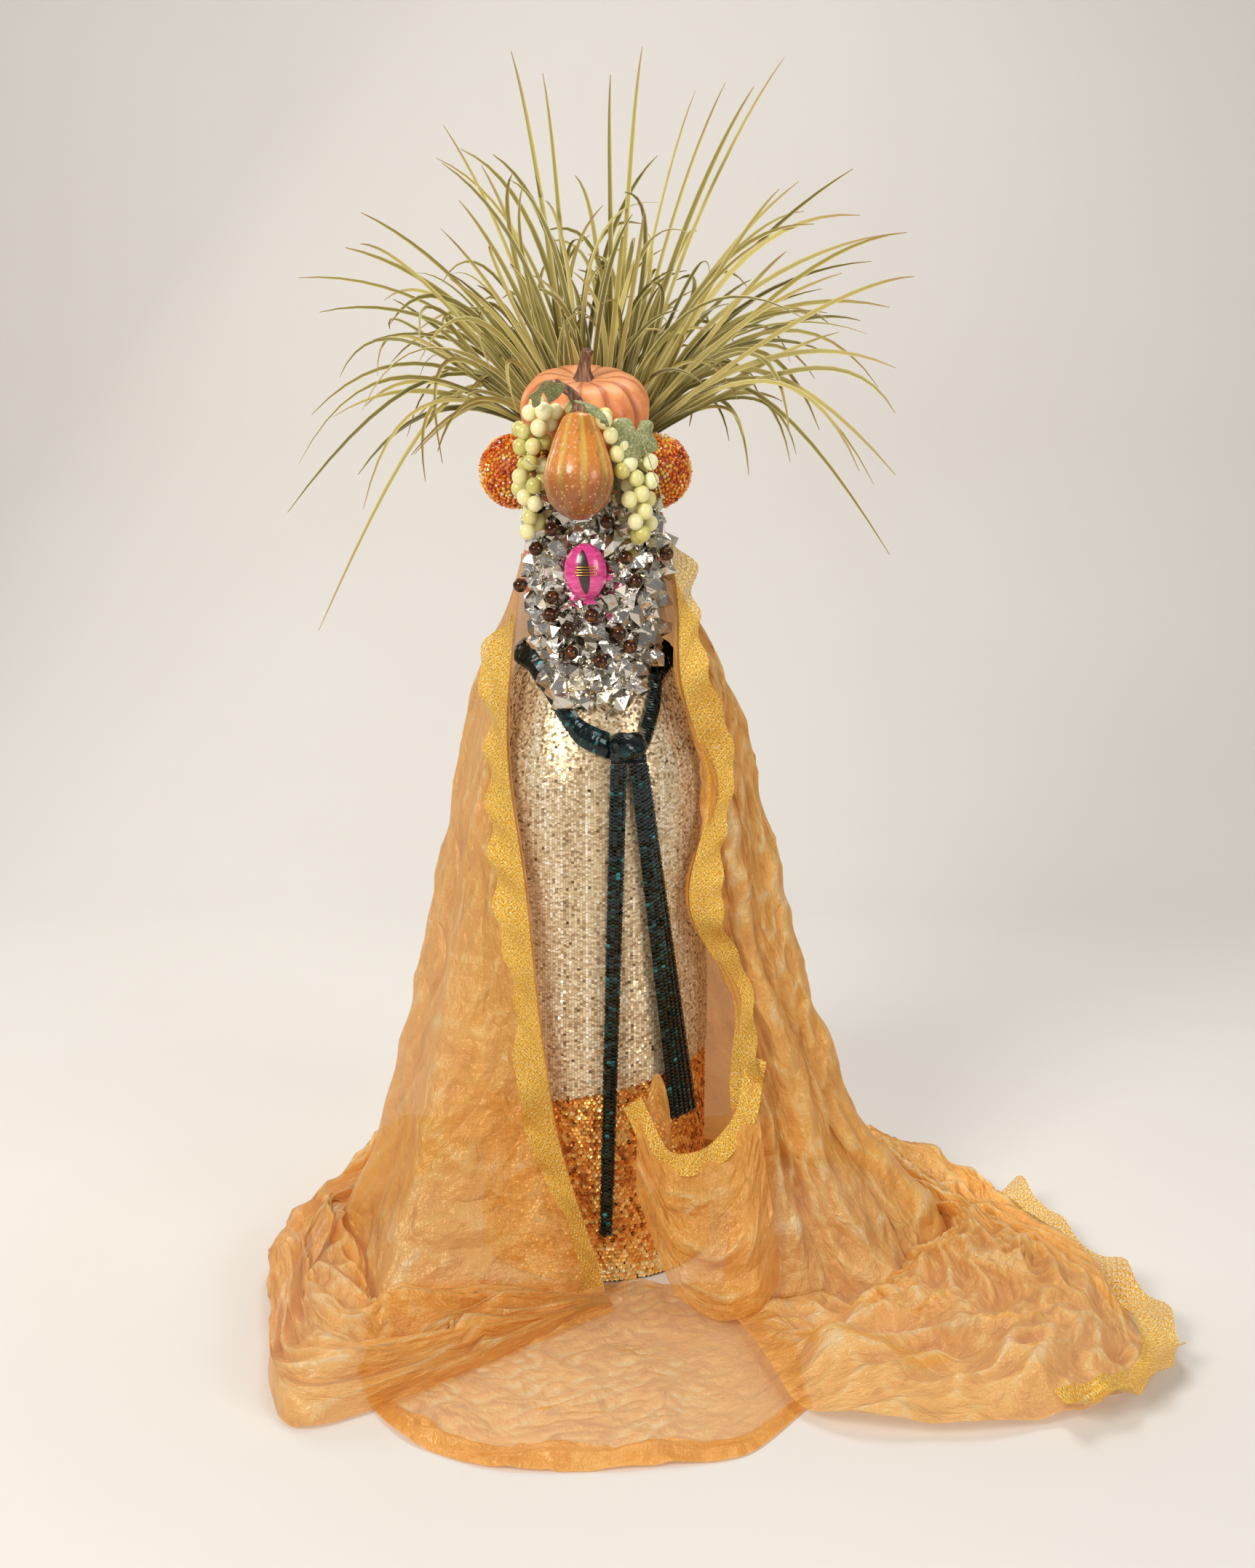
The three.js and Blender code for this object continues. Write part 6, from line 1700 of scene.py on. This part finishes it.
def hem_point(u, v):
    """The turned hem: a pleated roll along the train's edge, which flattens out at both ends."""
    base = train_point(u, 1 - v * HEM_BAND / TRAIN_DEPTH)
    inside = smoothstep(np.minimum(u, 1 - u), 0.06, 0.22)
    pleat = 0.7 + 0.3 * np.sin(3 * np.pi * v + 4 * np.sin(7 * u))
    uneven = 0.7 + 0.3 * np.sin(21 * u + 2 * np.sin(9 * u))
    lift = 0.0004 + inside * HEM_ROLL * np.sin(np.pi * v) * pleat * uneven
    return base + np.stack([0 * u, -0.002 * (1 - v), lift], axis=1)


thin_sheer = organza("organza_single", 0.22, 0.68)
train_mesh = note_folds(draped(110, 90, train_point, (0.37, 0.30)))
print("train area %.3f square metres" % flat_area(train_mesh))
train = keep("organza_train", train_mesh, thin_sheer, ["train_front"])
hem = keep("organza_train_hem", draped(140, 12, hem_point, (0.40, HEM_BAND)), sheer)

# %% [markdown]
# ## Swag
# A fold of the cape is drawn across the foot of the skirt in a soft cowl. One cloth bellies out between its rim and
# its foot, and a second, narrow one stands up behind the rim.

# %% Swag
# The swag's rim and foot, in radii of the base.
SWAG_TOP = [(1.32, -0.91, 2.05), (1.22, -1.08, 1.58), (0.95, -1.22, 1.31), (0.62, -1.28, 1.31), (0.37, -1.20, 1.78)]
SWAG_FOOT = [(1.58, -1.44, 0.24), (1.36, -1.78, 0.14), (1.02, -1.78, 0.06), (0.66, -1.58, 0.24), (0.36, -1.28, 0.95)]


def swag_point(u, v):
    """The fold drawn across the skirt: it bellies out between its rim and its foot."""
    top = through(np.array(SWAG_TOP) * BASE_RADIUS, u)
    foot = through(np.array(SWAG_FOOT) * BASE_RADIUS, u)
    spot = top + (foot - top) * v[:, None]
    cowl = np.sin(np.pi * v) * 0.014 + 0.004 * np.sin(2 * np.pi * 3.2 * v + 3 * np.sin(2.5 * u)) * np.sin(np.pi * v)
    crease = 0.0022 * ridges(u, v, (3, 8), 9.2) * np.sin(np.pi * v)
    spot[:, 1] -= cowl + crease
    spot[:, 2] = np.maximum(spot[:, 2], 0.003)
    return spot


swag_mesh = note_folds(draped(60, 60, swag_point, (0.16, 0.17)))
print("swag area %.4f square metres" % flat_area(swag_mesh))
swag = keep("organza_swag", swag_mesh, sheer, ["cape_swag"])


def peak_point(u, v):
    """The inner layer of the cowl, which stands up in a soft point behind its rim."""
    left, right = 0.036 + 0.009 * v, 0.071 + 0.008 * (1 - v) ** 3
    z = 0.118 + 0.088 * v * np.sqrt(np.maximum(1 - 0.9 * (2 * u - 1) ** 2, 0))
    roll = 0.007 * np.sin(np.pi * u) * (1 - 0.4 * v)
    return np.stack([left + (right - left) * u, -0.125 + 0.010 * v - roll + 0.003 * np.sin(9 * u + 4 * v), z], axis=1)


peak = keep("organza_peak", note_folds(draped(24, 36, peak_point, (0.03, 0.1))), sheer)

# %% [markdown]
# ## Gold mesh ribbon
# A gold net ribbon edges the cape. Threads of real mesh would be far too many, so the net is drawn in the finish from
# two sets of slanting threads, more open between them.

# %% Ribbon net
NET_PITCH = 0.0056

mesh_ribbon = Finish("mesh_ribbon", metallic=0.35, roughness=0.32)
flat = mesh_ribbon.cloth()
across = mesh_ribbon.node("ShaderNodeSeparateXYZ", None, {0: flat}, out=0)
along = mesh_ribbon.node("ShaderNodeSeparateXYZ", None, {0: flat}, out=1)
threads = []
for slant in (1, -1):
    phase = (across + along * (0.8 * slant)) * (1 / NET_PITCH)
    threads.append((phase.math("FRACT") - 0.5).math("ABSOLUTE").above(0.36, 0.05))
net = threads[0].math("MAXIMUM", threads[1])
glint = mesh_ribbon.noise(flat, 620, 3.0)
mesh_ribbon.wire(
    base_color=mesh_ribbon.ramp(glint, (0.34, "#cc8c14"), (0.46, "#fbbc34"), (0.56, "#ffdc62"), (0.68, "#fffade")),
    alpha=0.66 + net * 0.32, roughness=0.2 + glint * 0.2, normal=mesh_ribbon.bump(net + glint, 0.0014))


print("pitch of the ribbon net:", NET_PITCH)

# %% [markdown]
# The ribbon turns back as a lapel down both front edges of the cape. It could lie flat on the cloth, but the real one
# stands off it, so only one edge follows the cape and the other ruffles.

# %% Lapels
LAPEL_WIDTH = 0.027


def lapel(edge, inwards, start, end, seed):
    """A ribbon that turns back from a front edge of the cape and ruffles."""
    def point(u, v):
        down = start + (end - start) * v
        at_edge = np.full(len(v), edge)
        rim = cape_point(at_edge, down)
        across = unit(cape_form(at_edge + inwards * 0.01, down) - cape_form(at_edge, down))
        run = unit(cape_form(at_edge, down + 0.01) - cape_form(at_edge, down - 0.01))
        out = unit(np.cross(across, run)) * inwards
        ruffle = np.sin(9 * v * np.pi + seed) * 0.6 + np.sin(23 * v * np.pi + 2 * seed) * 0.3
        lift = np.radians(36 + 24 * ruffle)
        width = LAPEL_WIDTH * (0.95 + 0.22 * np.sin(6.1 * v * np.pi + seed)) * smoothstep(v, -0.02, 0.07)
        flutter = 0.0032 * np.sin(27 * v * np.pi + 4 * u) * u
        proud = 0.003 + u * width * np.sin(lift) + flutter
        return rim + out * proud[:, None] + across * (u * width * np.cos(lift))[:, None]
    return point


print("lapel width:", LAPEL_WIDTH)

# %% [markdown]
# The same ribbon ends as a frill round the far corner of the pool, and a narrower one follows the rim of the swag.

# %% Frill and swag edge
FRILL_WIDTH, EDGE_WIDTH = 0.023, 0.018


def train_frill(u, v):
    """The ribbon that ends as a frill round the far corner of the pool."""
    place = 0.655 + 0.245 * v
    end = np.ones(len(v))
    inside, rim = cape_point(place, end * 0.985), cape_point(place, end * 0.999)
    run = unit((cape_form(place + 0.01, end) - cape_form(place - 0.01, end)) * (1, 1, 0))
    out = np.stack([-run[:, 1], run[:, 0], 0 * u], axis=1)
    wave = 0.6 * np.sin(2 * np.pi * 7 * v) + 0.5 * np.sin(2 * np.pi * 3.1 * v + 1)
    free = smoothstep(u, 0.15, 0.4)
    rise = 0.0035 + free * u * (0.016 + 0.009 * wave)
    sway = 0.0025 * np.cos(2 * np.pi * 7 * v) * u
    start = inside + (rim - inside) * smoothstep(u, 0.0, 0.3)[:, None]
    return start + out * (free * (u * FRILL_WIDTH + sway))[:, None] + np.array((0, 0, 1)) * rise[:, None]


def swag_edge(u, v):
    """The ribbon along the swag's rim, which hangs down from it."""
    top = np.zeros(len(v))
    rim = swag_point(v * 0.98 + 0.01, top)
    run = unit(swag_point(v * 0.98 + 0.02, top) - swag_point(v * 0.98, top))
    across = unit(np.cross(run, np.array((0.0, 1.0, 0.0))))
    across *= np.where(across[:, 2] > 0, -1, 1)[:, None]
    ruffle = 0.003 * np.sin(2 * np.pi * 5 * v + 1)
    proud = 0.004 + (0.006 + ruffle) * u
    return rim + across * (EDGE_WIDTH * u - 0.003)[:, None] - np.array((0, 1, 0)) * proud[:, None]


print("frill and edge widths:", FRILL_WIDTH, EDGE_WIDTH)

# %% [markdown]
# All four ribbons are cut in the same way: a long grid that follows its path, with a map in metres for the net.

# %% Ribbons
RIBBONS = {
    "ribbon_lapel_left": (lapel(0, 1, 0.05, 0.61, 0.4), (0.028, 0.68), ["ribbon_left"], "organza_cape"),
    "ribbon_lapel_right": (lapel(1, -1, 0.012, 0.465, 2.1), (0.028, 0.60), ["ribbon_right"], "organza_cape"),
    "ribbon_train_frill": (train_frill, (0.028, 0.48), ["ribbon_train"], "organza_cape"),
    "ribbon_swag_edge": (swag_edge, (0.018, 0.21), [], "organza_swag"),
}
for name, (point, flat_size, solids, carrier) in RIBBONS.items():
    strip = draped(8, 220, point, flat_size)
    print(name, "area %.4f, flat %.4f" % (flat_area(strip), flat_size[0] * flat_size[1]))
    ribbon = keep(name, strip, mesh_ribbon, solids)
